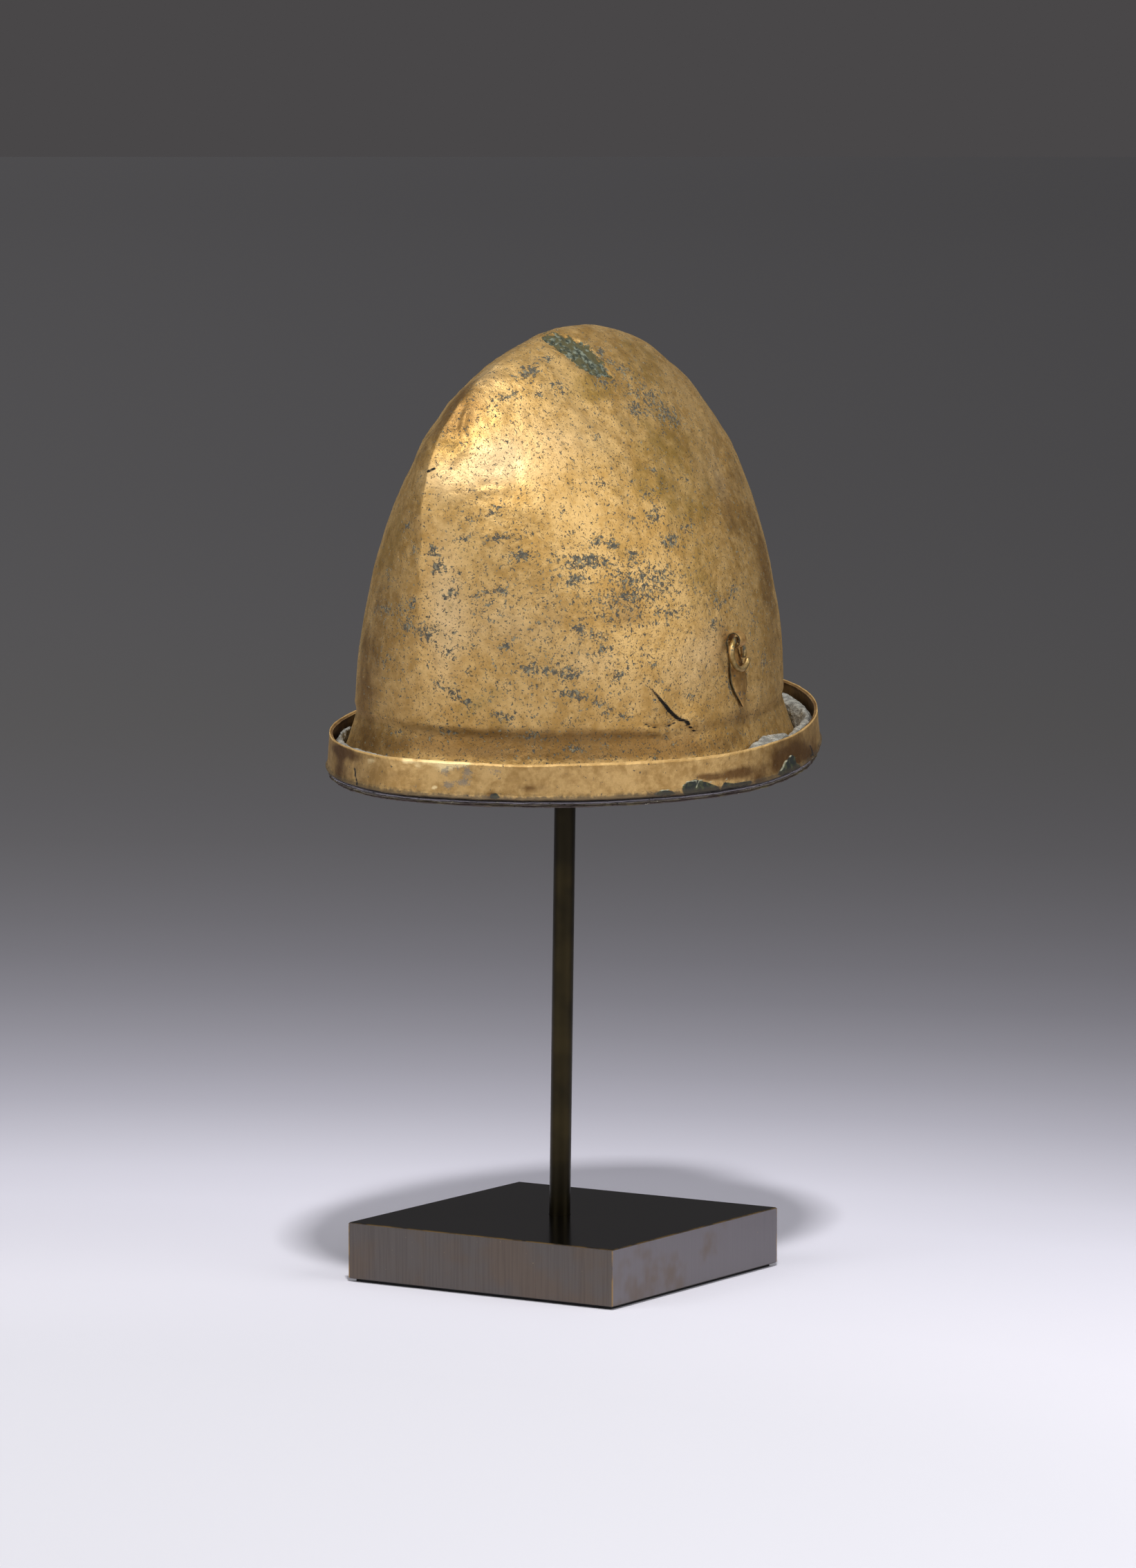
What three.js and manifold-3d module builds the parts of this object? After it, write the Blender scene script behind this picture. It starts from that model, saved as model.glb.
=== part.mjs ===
// A bronze helmet of the Negau kind on the plain stand that holds it.
// Millimetres, +Z up. The front of the helmet looks along -Y and the hanger is on the +X flank.
// The origin is the middle of the stand's underside.

import * as THREE from 'three';
import { mergeVertices } from 'three/addons/utils/BufferGeometryUtils.js';
import Module from 'manifold-3d';

const wasm = await Module();
wasm.setup();

// Gap left between neighbouring pieces
const CLEARANCE = 0.3;

// Stand
const PLATE_WIDTH = 139.7;
const PLATE_DEPTH = 139.7;
const PLATE_HEIGHT = 25.4;
const PLATE_CHAMFER = 0.5;
const PAD_THICKNESS = 1.2;
const PAD_INSET = 2.5;
const POST_DIAMETER = 9.525;
const POST_SHOWN = 210;
const POST_FOOT_X = -2.4;
const POST_LEAN = 0.87;
const POST_SOCKET_DEPTH = 12;
const SEAT_DIAMETER = 52;
const SEAT_DEPTH = 12;
const SEAT_LAP = 0.5;

// How the helmet sits on the stand: its middle, and its turns in degrees
const RIM_X = 6;
const RIM_Y = 0;
const HELMET_PITCH = 5;
const HELMET_ROLL = 2.8;
const HELMET_YAW = -4.5;

// Crown, measured from its vertical axis and from the rim's underside
const CROWN_WIDTH = 178;
const CROWN_FRONT = 112;
const CROWN_BACK = 103;
const CROWN_HEIGHT = 191.3;
const CROWN_WALL = 2;
const NECK_HEIGHT = 22;
const FOOT_HEIGHT = 28;
const FOOT_FLARE = 7;

// Rim: the fill's width at the crown's foot, and the band and the ring under it. The whole rim is
// bent, with its front and back above its flanks, and the bend fades out up the crown
const RIM_BEND = 2.7;
const RIM_BEND_TOP = 50;
const FILL_SIDE = 4.1;
const FILL_FRONT = 13.6;
const FILL_BACK = 12.3;
const FILL_HEIGHT = 13;
const FILL_GAP = 2.2;
const FILL_LUMP = 0.7;
const FILL_WAVES = 7;
const FILL_RIPPLES = 11;
const BAND_HEIGHT = 16.5;
const BAND_WALL = 2.5;
const BAND_SPLAY = 1.3;
const BAND_ROUND = 0.8;
const BAND_BOW_POWER = 1.74;
const BAND_TAIL_POWER = 1.93;
const UNDER_RING_THICKNESS = 2.6;
const UNDER_RING_INSET = 1.2;
const UNDER_RING_LIP = 1;

// Hanger and ring
const HANGER_Y = 0.4;
const EYE_HEIGHT = 59;
const EYE_HOLE = 5.6;
const EYE_WALL = 0.9;
const EYE_WIDTH = 5.2;
const LEAF_LENGTH = 30;
const LEAF_WIDTH = 12;
const LEAF_LEAN = 3.7;
const LEAF_THICKNESS = 1;
const LEAF_SWELL = 0.5;
const RING_OUTER = 14.3;
const WIRE_DIAMETER = 2.6;
const RING_OFFSET = 0.9;
const RING_TURN = 7;
const RING_FREE_END = -23;
const RING_SWEEP = 367;

// Mesh fineness
const CROWN_SIDES = 56;
const DOME_ROWS = 22;
const DOME_CROWDING = 1.9;
const RIM_SIDES = 72;
const POST_SIDES = 24;
const LEAF_STATIONS = 12;
const WIRE_SIDES = 8;
const WIRE_STEPS = 40;
const EYE_SEGMENTS = 10;

// Sections of the crown from the neck to the apex. rise is a share of the height above the neck,
// half of half the width, front and back of the two lengths. bow is the power that shapes the
// front half of the section and tail the back half: at 2 it is round, nearer 1 it has a ridge.
const CROWN_SECTIONS = [
  { rise: 0.00, half: 1.000, front: 1.000, back: 0.984, bow: 2.00, tail: 2.00 },
  { rise: 0.15, half: 0.972, front: 1.000, back: 1.000, bow: 1.92, tail: 1.99 },
  { rise: 0.32, half: 0.902, front: 0.996, back: 0.995, bow: 1.80, tail: 1.97 },
  { rise: 0.50, half: 0.780, front: 0.984, back: 0.974, bow: 1.65, tail: 1.90 },
  { rise: 0.62, half: 0.660, front: 0.961, back: 0.931, bow: 1.56, tail: 1.87 },
  { rise: 0.72, half: 0.540, front: 0.912, back: 0.853, bow: 1.49, tail: 1.84 },
  { rise: 0.81, half: 0.420, front: 0.808, back: 0.737, bow: 1.42, tail: 1.81 },
  { rise: 0.88, half: 0.322, front: 0.666, back: 0.599, bow: 1.37, tail: 1.79 },
  { rise: 0.94, half: 0.215, front: 0.473, back: 0.440, bow: 1.32, tail: 1.77 },
  { rise: 0.98, half: 0.111, front: 0.271, back: 0.260, bow: 1.28, tail: 1.75 },
  { rise: 1.00, half: 0.000, front: 0.000, back: 0.000, bow: 1.27, tail: 1.75 },
];

// The foot and the groove above it: rise is a share of the foot's height, flare of the foot's flare
const FOOT_SECTIONS = [
  { rise: 0.00, flare: 1.00 },
  { rise: 0.18, flare: 0.76 },
  { rise: 0.36, flare: 0.47 },
  { rise: 0.55, flare: 0.20 },
  { rise: 0.72, flare: -0.02 },
  { rise: 0.86, flare: -0.14 },
  { rise: 1.00, flare: 0.00 },
];

// Main dents. around is degrees from the front towards +X, rise a share of the height above the
// neck, reach and depth shares of half the crown's width
const DENTS = [
  { around: 37, rise: 0.73, reach: 0.18, depth: 0.018 },
  { around: 35, rise: 0.65, reach: 0.10, depth: 0.009 },
  { around: 329, rise: 0.57, reach: 0.25, depth: 0.017 },
  { around: 317, rise: 0.70, reach: 0.16, depth: 0.017 },
  { around: 335, rise: 0.82, reach: 0.11, depth: 0.013 },
  { around: 110, rise: 0.64, reach: 0.18, depth: 0.014 },
  { around: 70, rise: 0.06, reach: 0.13, depth: 0.018 },
];

// Leaf of the hanger from the eye to the tip: along is a share of its length, half of half its width
const LEAF_SECTIONS = [
  { along: 0.00, half: 0.54 },
  { along: 0.25, half: 0.66 },
  { along: 0.45, half: 0.92 },
  { along: 0.60, half: 1.00 },
  { along: 0.75, half: 0.78 },
  { along: 0.90, half: 0.34 },
  { along: 1.00, half: 0.06 },
];

// Fill across the channel: across runs from the crown to the band, rise is a share of its height
const FILL_PROFILE = [
  { across: 0.00, rise: 0.00 },
  { across: 1.00, rise: 0.00 },
  { across: 1.00, rise: 0.60 },
  { across: 0.88, rise: 0.88 },
  { across: 0.55, rise: 1.00 },
  { across: 0.22, rise: 0.92 },
  { across: 0.00, rise: 0.62 },
];

// A column of a table as a smooth curve without overshoot, by monotone cubic pieces
function column(rows, along, name, power = 1) {
  const x = rows.map((row) => row[along]);
  const y = rows.map((row) => row[name] ** power);
  const step = x.slice(1).map((value, i) => value - x[i]);
  const slope = step.map((width, i) => (y[i + 1] - y[i]) / width);
  const tangent = y.map((value, i) => {
    if (i === 0) return slope[0];
    if (i === slope.length) return slope[i - 1];
    if (slope[i - 1] * slope[i] <= 0) return 0;
    const before = 2 * step[i] + step[i - 1];
    const after = step[i] + 2 * step[i - 1];
    return (before + after) / (before / slope[i - 1] + after / slope[i]);
  });
  return (at) => {
    let i = 0;
    while (i < step.length - 1 && at >= x[i + 1]) i += 1;
    const u = (at - x[i]) / step[i];
    const v = 1 - u;
    const ends = (1 + 2 * u) * v * v * y[i] + u * u * (3 - 2 * u) * y[i + 1];
    const value = ends + u * v * step[i] * (v * tangent[i] - u * tangent[i + 1]);
    return power === 1 ? value : Math.max(value, 0) ** (1 / power);
  };
}

// Squared half sizes are interpolated, so that the dome closes round at the apex
const halfAt = column(CROWN_SECTIONS, 'rise', 'half', 2);
const frontAt = column(CROWN_SECTIONS, 'rise', 'front', 2);
const backAt = column(CROWN_SECTIONS, 'rise', 'back', 2);
const bowAt = column(CROWN_SECTIONS, 'rise', 'bow');
const tailAt = column(CROWN_SECTIONS, 'rise', 'tail');
const flareAt = column(FOOT_SECTIONS, 'rise', 'flare');
const leafHalfAt = column(LEAF_SECTIONS, 'along', 'half');

const ANGLE = THREE.MathUtils.degToRad(1);

// Half sizes of the crown's section at a height, inset inwards from its outer face
function crownSection(height, inset) {
  const top = CROWN_HEIGHT - inset;
  const share = THREE.MathUtils.clamp((height - NECK_HEIGHT) / (top - NECK_HEIGHT), 0, 1);
  const flare = height < FOOT_HEIGHT ? FOOT_FLARE * flareAt(height / FOOT_HEIGHT) : 0;
  return {
    half: (CROWN_WIDTH / 2 - inset) * halfAt(share) + flare,
    front: (CROWN_FRONT - inset) * frontAt(share) + flare,
    back: (CROWN_BACK - inset) * backAt(share) + flare,
    bow: bowAt(share),
    tail: tailAt(share),
  };
}

// Point of the undented crown at a height and an angle, counted from the front towards +X
function smoothCrownPoint(height, angle, inset) {
  const { half, front, back, bow, tail } = crownSection(height, inset);
  const along = Math.cos(angle);
  const across = Math.sin(angle);
  const x = half * Math.sign(across) * Math.abs(across) ** (2 / (along > 0 ? bow : tail));
  const y = -along * (along > 0 ? front : back);
  return new THREE.Vector3(x, y, height);
}

const dents = DENTS.map((dent) => ({
  centre: smoothCrownPoint(
    NECK_HEIGHT + dent.rise * (CROWN_HEIGHT - NECK_HEIGHT), dent.around * ANGLE, 0),
  reach: dent.reach * CROWN_WIDTH / 2,
  depth: dent.depth * CROWN_WIDTH / 2,
}));

// Height of a point of the bent rim: the bend is whole up to the band's top and fades out above it
function bentHeight(height, angle) {
  const fade = 1 - THREE.MathUtils.smoothstep(height, BAND_HEIGHT, RIM_BEND_TOP);
  return height + RIM_BEND * Math.cos(2 * angle) * fade;
}

// Point of the crown with the bend, and with the dents, which push the wall towards the axis
function crownPoint(height, angle, inset = 0) {
  const point = smoothCrownPoint(height, angle, inset);
  const inwards = new THREE.Vector3(-point.x, -point.y, 0).normalize();
  const push = dents.reduce((sum, dent) => {
    const distance = point.distanceTo(dent.centre) / dent.reach;
    return sum + dent.depth * Math.exp(-distance * distance);
  }, 0);
  return point.addScaledVector(inwards, push).setZ(bentHeight(height, angle));
}

// Point of the band's outline, a near oval, inset from the top of its outer face
function bandPoint(height, angle, inset = 0) {
  const beyond = FOOT_FLARE + BAND_WALL - inset;
  const half = CROWN_WIDTH / 2 + FILL_SIDE + beyond;
  const front = CROWN_FRONT + FILL_FRONT + beyond;
  const back = CROWN_BACK + FILL_BACK + beyond;
  const along = Math.cos(angle);
  const across = Math.sin(angle);
  const power = 2 / (along > 0 ? BAND_BOW_POWER : BAND_TAIL_POWER);
  const x = half * Math.sign(across) * Math.abs(across) ** power;
  const y = -Math.sign(along) * (along > 0 ? front : back) * Math.abs(along) ** power;
  return new THREE.Vector3(x, y, bentHeight(height, angle));
}

// The band widens by its splay from its top edge down to its lower one
const splayAt = (height) => BAND_SPLAY * (1 - height / BAND_HEIGHT);

const angles = (count) => Array.from({ length: count }, (unused, i) => 2 * Math.PI * i / count);

// Closed solid through rings of points: joined end to end, or closed by a point at each end
function loft(rings, ends = null) {
  const count = rings[0].length;
  const points = rings.flat();
  const faces = [];
  const bands = ends ? rings.length - 1 : rings.length;
  for (let r = 0; r < bands; r += 1) {
    const low = r * count;
    const high = ((r + 1) % rings.length) * count;
    for (let i = 0; i < count; i += 1) {
      const next = (i + 1) % count;
      faces.push(low + i, low + next, high + next, low + i, high + next, high + i);
    }
  }
  if (ends) {
    const last = (rings.length - 1) * count;
    points.push(...ends);
    for (let i = 0; i < count; i += 1) {
      const next = (i + 1) % count;
      faces.push(points.length - 2, next, i);
      faces.push(points.length - 1, last + i, last + next);
    }
  }
  return outward(points, faces);
}

// Geometry whose faces point out: where the signed volume is negative, they are turned round
function outward(points, faces) {
  let volume = 0;
  for (let f = 0; f < faces.length; f += 3) {
    const [a, b, c] = [points[faces[f]], points[faces[f + 1]], points[faces[f + 2]]];
    volume += a.dot(new THREE.Vector3().crossVectors(b, c));
  }
  const geometry = new THREE.BufferGeometry().setFromPoints(points);
  geometry.setIndex(volume > 0 ? faces : faces.reverse());
  return geometry;
}

const middle = (ring) => ring.reduce((sum, point) => sum.add(point), new THREE.Vector3())
  .divideScalar(ring.length);

// Conversions between three.js geometry and the solids that are cut and joined
function toSolid(source) {
  const bare = source.clone();
  bare.deleteAttribute('normal');
  bare.deleteAttribute('uv');
  const merged = mergeVertices(bare, 1e-4);
  return new wasm.Manifold(new wasm.Mesh({
    numProp: 3,
    vertProperties: new Float32Array(merged.attributes.position.array),
    triVerts: new Uint32Array(merged.index.array),
  }));
}

function fromSolid(solid) {
  const mesh = solid.getMesh();
  const geometry = new THREE.BufferGeometry();
  geometry.setAttribute('position', new THREE.BufferAttribute(mesh.vertProperties, 3));
  geometry.setIndex(new THREE.BufferAttribute(mesh.triVerts, 1));
  return geometry;
}

// Upright cylinder from one height to another
function cylinder(radius, from, to, sides) {
  const geometry = new THREE.CylinderGeometry(radius, radius, to - from, sides);
  geometry.rotateX(Math.PI / 2);
  geometry.translate(0, 0, (from + to) / 2);
  return geometry;
}

// Heights of the rows of the crown's wall, crowded towards the apex
function wallHeights(top) {
  const foot = FOOT_SECTIONS.slice(0, -1).map((row) => row.rise * FOOT_HEIGHT);
  const dome = Array.from({ length: DOME_ROWS }, (unused, i) => {
    const share = 1 - (1 - i / DOME_ROWS) ** DOME_CROWDING;
    return FOOT_HEIGHT + share * (top - FOOT_HEIGHT);
  });
  return [...foot, ...dome];
}

const wallRings = (inset) => wallHeights(CROWN_HEIGHT - inset)
  .map((height) => angles(CROWN_SIDES).map((angle) => crownPoint(height, angle, inset)));

const apex = (inset) => new THREE.Vector3(0, 0, CROWN_HEIGHT - inset);

// Hollow crown: up the outer face, and down the inner one
function crownGeometry() {
  const inner = wallRings(CROWN_WALL).reverse();
  return loft([...inner, ...wallRings(0)], [apex(CROWN_WALL), apex(0)]);
}

// Upright band with its four long edges rounded
function bandGeometry() {
  const round = BAND_ROUND;
  const profile = [
    { inset: round, height: 0 },
    { inset: 0, height: round },
    { inset: 0, height: BAND_HEIGHT - round },
    { inset: round, height: BAND_HEIGHT },
    { inset: BAND_WALL - round, height: BAND_HEIGHT },
    { inset: BAND_WALL, height: BAND_HEIGHT - round },
    { inset: BAND_WALL, height: round },
    { inset: BAND_WALL - round, height: 0 },
  ];
  return loft(profile.map(({ inset, height }) => angles(RIM_SIDES)
    .map((angle) => bandPoint(height, angle, inset - splayAt(height)))));
}

// Fill between the crown's foot and the band, with a lumpy round top
function fillGeometry() {
  const rings = FILL_PROFILE.map(({ across, rise }) => angles(RIM_SIDES).map((angle) => {
    const waves = Math.sin(FILL_WAVES * angle) + Math.cos(FILL_RIPPLES * angle);
    const height = (FILL_HEIGHT + FILL_LUMP * waves / 2) * rise;
    const gap = CLEARANCE + (FILL_GAP - CLEARANCE) * rise;
    const inner = crownPoint(height, angle, -gap);
    const outer = bandPoint(height, angle, BAND_WALL + CLEARANCE - splayAt(height));
    return inner.lerp(outer, across);
  }));
  return loft(rings);
}

// Thin flat ring that the crown, the fill and the band rest on
function underRingGeometry() {
  const top = -CLEARANCE;
  const bottom = top - UNDER_RING_THICKNESS;
  const inner = (angle) => crownPoint(0, angle, CROWN_WALL + UNDER_RING_LIP);
  const outer = (angle) => bandPoint(0, angle, UNDER_RING_INSET - splayAt(0));
  const corners = [[inner, bottom], [outer, bottom], [outer, top], [inner, top]];
  return loft(corners.map(([edge, height]) => angles(RIM_SIDES)
    .map((angle) => edge(angle).setZ(bentHeight(height, angle)))));
}

// Point of the +X flank at a height and a distance along Y
function flankPoint(height, y) {
  const { half, front, back, bow, tail } = crownSection(height, 0);
  const share = y / (y < 0 ? front : back);
  return new THREE.Vector3(half * (1 - share * share) ** (1 / (y < 0 ? bow : tail)), y, height);
}

// Directions on the flank at the middle of the hanger: outwards, up and sideways
const leafMiddle = EYE_HEIGHT - LEAF_LENGTH / 2;
const flankUp = flankPoint(EYE_HEIGHT, HANGER_Y)
  .sub(flankPoint(EYE_HEIGHT - LEAF_LENGTH, HANGER_Y)).normalize();
const flankBack = flankPoint(leafMiddle, HANGER_Y + LEAF_WIDTH / 2)
  .sub(flankPoint(leafMiddle, HANGER_Y - LEAF_WIDTH / 2)).normalize();
const flankOut = new THREE.Vector3().crossVectors(flankBack, flankUp).normalize();
const flankSide = new THREE.Vector3().crossVectors(flankOut, flankUp).normalize();

// The eye stands off the flank so that its back wall lies in line with the leaf
const eyeRadius = EYE_HOLE / 2 + EYE_WALL;
const eyeCentre = flankPoint(EYE_HEIGHT, HANGER_Y)
  .addScaledVector(flankOut, CLEARANCE + eyeRadius);

// Leaf that follows the flank, leaning a little, with its top rolled into an eye
function hangerGeometry() {
  const rings = Array.from({ length: LEAF_STATIONS + 1 }, (unused, i) => {
    const along = i / LEAF_STATIONS;
    const centre = HANGER_Y + LEAF_LEAN * along;
    const reach = leafHalfAt(along) * LEAF_WIDTH / 2;
    const back = CLEARANCE;
    const face = CLEARANCE + LEAF_THICKNESS;
    const corners = [[-reach, back], [0, back], [reach, back], [reach, face],
      [0, face + LEAF_SWELL * leafHalfAt(along) * along], [-reach, face]];
    return corners.map(([side, out]) => flankPoint(EYE_HEIGHT - along * LEAF_LENGTH, centre + side)
      .addScaledVector(flankOut, out));
  });
  const leaf = loft(rings, [middle(rings[0]), middle(rings[LEAF_STATIONS])]);
  const outline = new THREE.Shape().absarc(0, 0, eyeRadius, 0, 2 * Math.PI);
  outline.holes.push(new THREE.Path().absarc(0, 0, EYE_HOLE / 2, 0, 2 * Math.PI));
  const eye = new THREE.ExtrudeGeometry(outline,
    { depth: EYE_WIDTH, bevelEnabled: false, curveSegments: EYE_SEGMENTS });
  eye.translate(0, 0, -EYE_WIDTH / 2);
  eye.applyMatrix4(flankFrame(eyeCentre, flankUp));
  const hole = cylinder(EYE_HOLE / 2, -LEAF_WIDTH, LEAF_WIDTH, 2 * EYE_SEGMENTS);
  hole.applyMatrix4(flankFrame(eyeCentre, flankUp));
  return fromSolid(toSolid(leaf).add(toSolid(eye)).subtract(toSolid(hole)));
}

// Frame whose Z is the eye's axis, with Y along the given direction up the flank
function flankFrame(origin, up) {
  const out = new THREE.Vector3().crossVectors(up, flankSide).normalize();
  return new THREE.Matrix4().makeBasis(out, up, flankSide).setPosition(origin);
}

// The wire: one turn of a flat spiral, centred in the eye at its top, whose free end passes outside
// the other one and a little in front of it
const ringRadius = (RING_OUTER - WIRE_DIAMETER) / 2;
const ringPitch = WIRE_DIAMETER + CLEARANCE;
const ringTopShare = (RING_FREE_END + 270) / RING_SWEEP;
const ringAngle = (share) => (RING_FREE_END - share * RING_SWEEP) * ANGLE;

class RingCurve extends THREE.Curve {
  getPoint(share, target = new THREE.Vector3()) {
    const angle = ringAngle(share);
    const radius = ringRadius + ringPitch * (ringTopShare - share);
    return target.set(RING_OFFSET * (ringTopShare - share),
      radius * Math.sin(angle), -radius * Math.cos(angle));
  }
}

// The ring hangs low in the eye, where its inner edge bears at the eye's two mouths. On one side the
// spiral is tighter by what it closes over an eighth of a turn
const ringInner = ringRadius - WIRE_DIAMETER / 2 - ringPitch / 8;
const eyeBite = ringRadius - Math.sqrt(ringInner ** 2 - (EYE_WIDTH / 2) ** 2);
const ringDrop = EYE_HOLE / 2 - CLEARANCE - eyeBite;

// Its foot rests just off the leaf, which sets how far the ring leans out. The ring is turned a
// little about its upright, which brings one side of it nearer to the leaf
const ringFoot = ringDrop + ringRadius * 2 + ringPitch * ringTopShare;
const ringFootOut = CLEARANCE + LEAF_THICKNESS + LEAF_SWELL + CLEARANCE + WIRE_DIAMETER / 2
  + ringRadius * Math.sin(RING_TURN * ANGLE);
const ringLean = Math.atan2(ringFootOut - CLEARANCE - eyeRadius, ringFoot);

function ringGeometry() {
  const wire = new THREE.Shape().absarc(0, 0, WIRE_DIAMETER / 2, 0, 2 * Math.PI);
  const geometry = new THREE.ExtrudeGeometry(wire, {
    steps: WIRE_STEPS,
    curveSegments: WIRE_SIDES / 2,
    extrudePath: new RingCurve(),
  });
  geometry.translate(0, -ringDrop - ringRadius, 0);
  geometry.rotateY(RING_TURN * ANGLE);
  const up = flankUp.clone().applyAxisAngle(flankSide, ringLean);
  geometry.applyMatrix4(flankFrame(eyeCentre, up));
  return geometry;
}

// Levels of the stand
const plateBottom = PAD_THICKNESS + CLEARANCE;
const plateTop = plateBottom + PLATE_HEIGHT;
const rimHeight = plateTop + POST_SHOWN;

// Groups that hold the tilted pieces
const helmet = new THREE.Group();
helmet.position.set(RIM_X, RIM_Y, rimHeight);
helmet.rotation.set(HELMET_PITCH * ANGLE, HELMET_ROLL * ANGLE, HELMET_YAW * ANGLE);
helmet.updateMatrixWorld();

const postStand = new THREE.Group();
postStand.position.set(POST_FOOT_X, 0, plateTop);
postStand.rotation.set(0, POST_LEAN * ANGLE, 0);
postStand.updateMatrixWorld();

const helmetInPost = postStand.matrixWorld.clone().invert().multiply(helmet.matrixWorld);

// Round post from the plate's socket to a seat that follows the inside of the crown
function postGeometry() {
  const inset = CROWN_WALL + CLEARANCE;
  const seatTop = apex(inset).applyMatrix4(helmetInPost).z;
  const seatBase = seatTop - SEAT_DEPTH;
  const rings = wallRings(inset);
  const hollow = loft(rings, [middle(rings[0]), apex(inset)]).applyMatrix4(helmetInPost);
  const puck = cylinder(SEAT_DIAMETER / 2, seatBase, seatTop + SEAT_DEPTH, POST_SIDES);
  const foot = CLEARANCE - POST_SOCKET_DEPTH;
  const shaft = cylinder(POST_DIAMETER / 2, foot, seatBase + SEAT_LAP, POST_SIDES);
  return fromSolid(toSolid(hollow).intersect(toSolid(puck)).add(toSolid(shaft)));
}

// Rectangular block with chamfered long edges
function block(width, depth, from, to, chamfer) {
  const levels = [[from, chamfer], [from + chamfer, 0], [to - chamfer, 0], [to, chamfer]];
  const rings = levels.map(([z, inset]) => {
    const x = width / 2 - inset;
    const y = depth / 2 - inset;
    return [[x, y], [-x, y], [-x, -y], [x, -y]].map(([a, b]) => new THREE.Vector3(a, b, z));
  });
  return loft(rings, [middle(rings[0]), middle(rings[3])]);
}

// Square plate with the socket that the post stands in
function plateGeometry() {
  const plate = block(PLATE_WIDTH, PLATE_DEPTH, plateBottom, plateTop, PLATE_CHAMFER);
  const socket = cylinder(POST_DIAMETER / 2 + CLEARANCE, -POST_SOCKET_DEPTH, POST_SOCKET_DEPTH,
    POST_SIDES).applyMatrix4(postStand.matrixWorld);
  return fromSolid(toSolid(plate).subtract(toSolid(socket)));
}

const padGeometry = () => new THREE.BoxGeometry(
  PLATE_WIDTH - 2 * PAD_INSET, PLATE_DEPTH - 2 * PAD_INSET, PAD_THICKNESS)
  .translate(0, 0, PAD_THICKNESS / 2);

// Finishes
const finish = (color, roughness, metalness) => new THREE.MeshStandardMaterial(
  { color, roughness, metalness, flatShading: true });

const bronze = finish(0xa9854a, 0.42, 0.9);
const wornBronze = finish(0x9c7b43, 0.4, 0.9);
const greyFill = finish(0x9a9a94, 0.85, 0.1);
const corroded = finish(0x5b5647, 0.8, 0.3);
const darkBronze = finish(0x2c2620, 0.35, 0.8);
const blackPad = finish(0x17181a, 0.9, 0);

function piece(name, geometry, material) {
  const mesh = new THREE.Mesh(geometry, material);
  mesh.name = name;
  return mesh;
}

helmet.add(
  piece('crown', crownGeometry(), bronze),
  piece('rim_band', bandGeometry(), wornBronze),
  piece('rim_fill', fillGeometry(), greyFill),
  piece('under_ring', underRingGeometry(), corroded),
  piece('hanger_plate', hangerGeometry(), bronze),
  piece('wire_ring', ringGeometry(), wornBronze),
);
postStand.add(piece('post', postGeometry(), darkBronze));

const stand = new THREE.Group();
stand.add(
  postStand,
  piece('base_plate', plateGeometry(), darkBronze),
  piece('base_pad', padGeometry(), blackPad),
);

const model = new THREE.Group();
model.add(helmet, stand);

export default model;
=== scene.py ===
# %% [markdown]
# A bronze helmet of the Negau kind on its stand.
#
# The CAD model holds the true sizes. This lesson dresses it: each visible piece becomes a fine surface
# worked out with numpy, and each gets a procedural finish. The dents, cracks, pits and stains, and the
# painted light and shade, are charted on the photograph, and the camera's own projection carries them onto
# the surfaces, so that they land where they are on the real bronze.

import bpy
import numpy as np
from mathutils import Matrix, Vector


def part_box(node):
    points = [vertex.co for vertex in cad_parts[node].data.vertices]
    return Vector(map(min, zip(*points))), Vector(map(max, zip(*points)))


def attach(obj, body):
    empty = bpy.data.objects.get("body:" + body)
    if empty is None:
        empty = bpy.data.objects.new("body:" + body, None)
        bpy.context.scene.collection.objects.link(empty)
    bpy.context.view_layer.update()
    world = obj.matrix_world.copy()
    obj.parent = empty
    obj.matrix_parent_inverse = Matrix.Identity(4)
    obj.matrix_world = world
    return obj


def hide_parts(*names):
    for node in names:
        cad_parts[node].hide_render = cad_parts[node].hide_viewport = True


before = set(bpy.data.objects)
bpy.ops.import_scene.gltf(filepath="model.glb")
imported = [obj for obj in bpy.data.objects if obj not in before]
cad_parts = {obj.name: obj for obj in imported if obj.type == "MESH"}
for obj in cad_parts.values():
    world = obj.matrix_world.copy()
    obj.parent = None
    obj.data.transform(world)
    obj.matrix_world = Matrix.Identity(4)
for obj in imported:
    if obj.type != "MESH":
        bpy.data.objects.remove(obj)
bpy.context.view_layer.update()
MM = 0.001
STAND = "stand_and_helmet"

# %% [markdown]
# Tables and frames come first. Short tables with named columns give the shape of the helmet, as shares
# of a few sizes. A table's column is read as a smooth curve that never overshoots, a monotone cubic,
# because a plain spline would swell between two rows.


# %% Tables read as smooth curves
def table(columns, *rows):
    """Named columns of a table, each as one array."""
    return dict(zip(columns.split(), np.array(rows, float).T))


def curve(x, y, at):
    """Monotone cubic through (x, y): the tangent at a row is the weighted harmonic mean of the slopes
    beside it, and 0 where they differ in sign."""
    step = np.diff(x)
    slope = np.diff(y) / step
    before, after = 2 * step[1:] + step[:-1], step[1:] + 2 * step[:-1]
    with np.errstate(divide="ignore", invalid="ignore"):
        inner = (before + after) / (before / slope[:-1] + after / slope[1:])
    inner = np.where(slope[:-1] * slope[1:] > 0, inner, 0)
    tangent = np.concatenate([slope[:1], inner, slope[-1:]])
    i = np.clip(np.searchsorted(x, at, side="right") - 1, 0, len(step) - 1)
    u = (at - x[i]) / step[i]
    ends = (1 + 2 * u) * (1 - u) ** 2 * y[i] + u * u * (3 - 2 * u) * y[i + 1]
    return ends + u * (1 - u) * step[i] * ((1 - u) * tangent[i] - u * tangent[i + 1])


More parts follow.
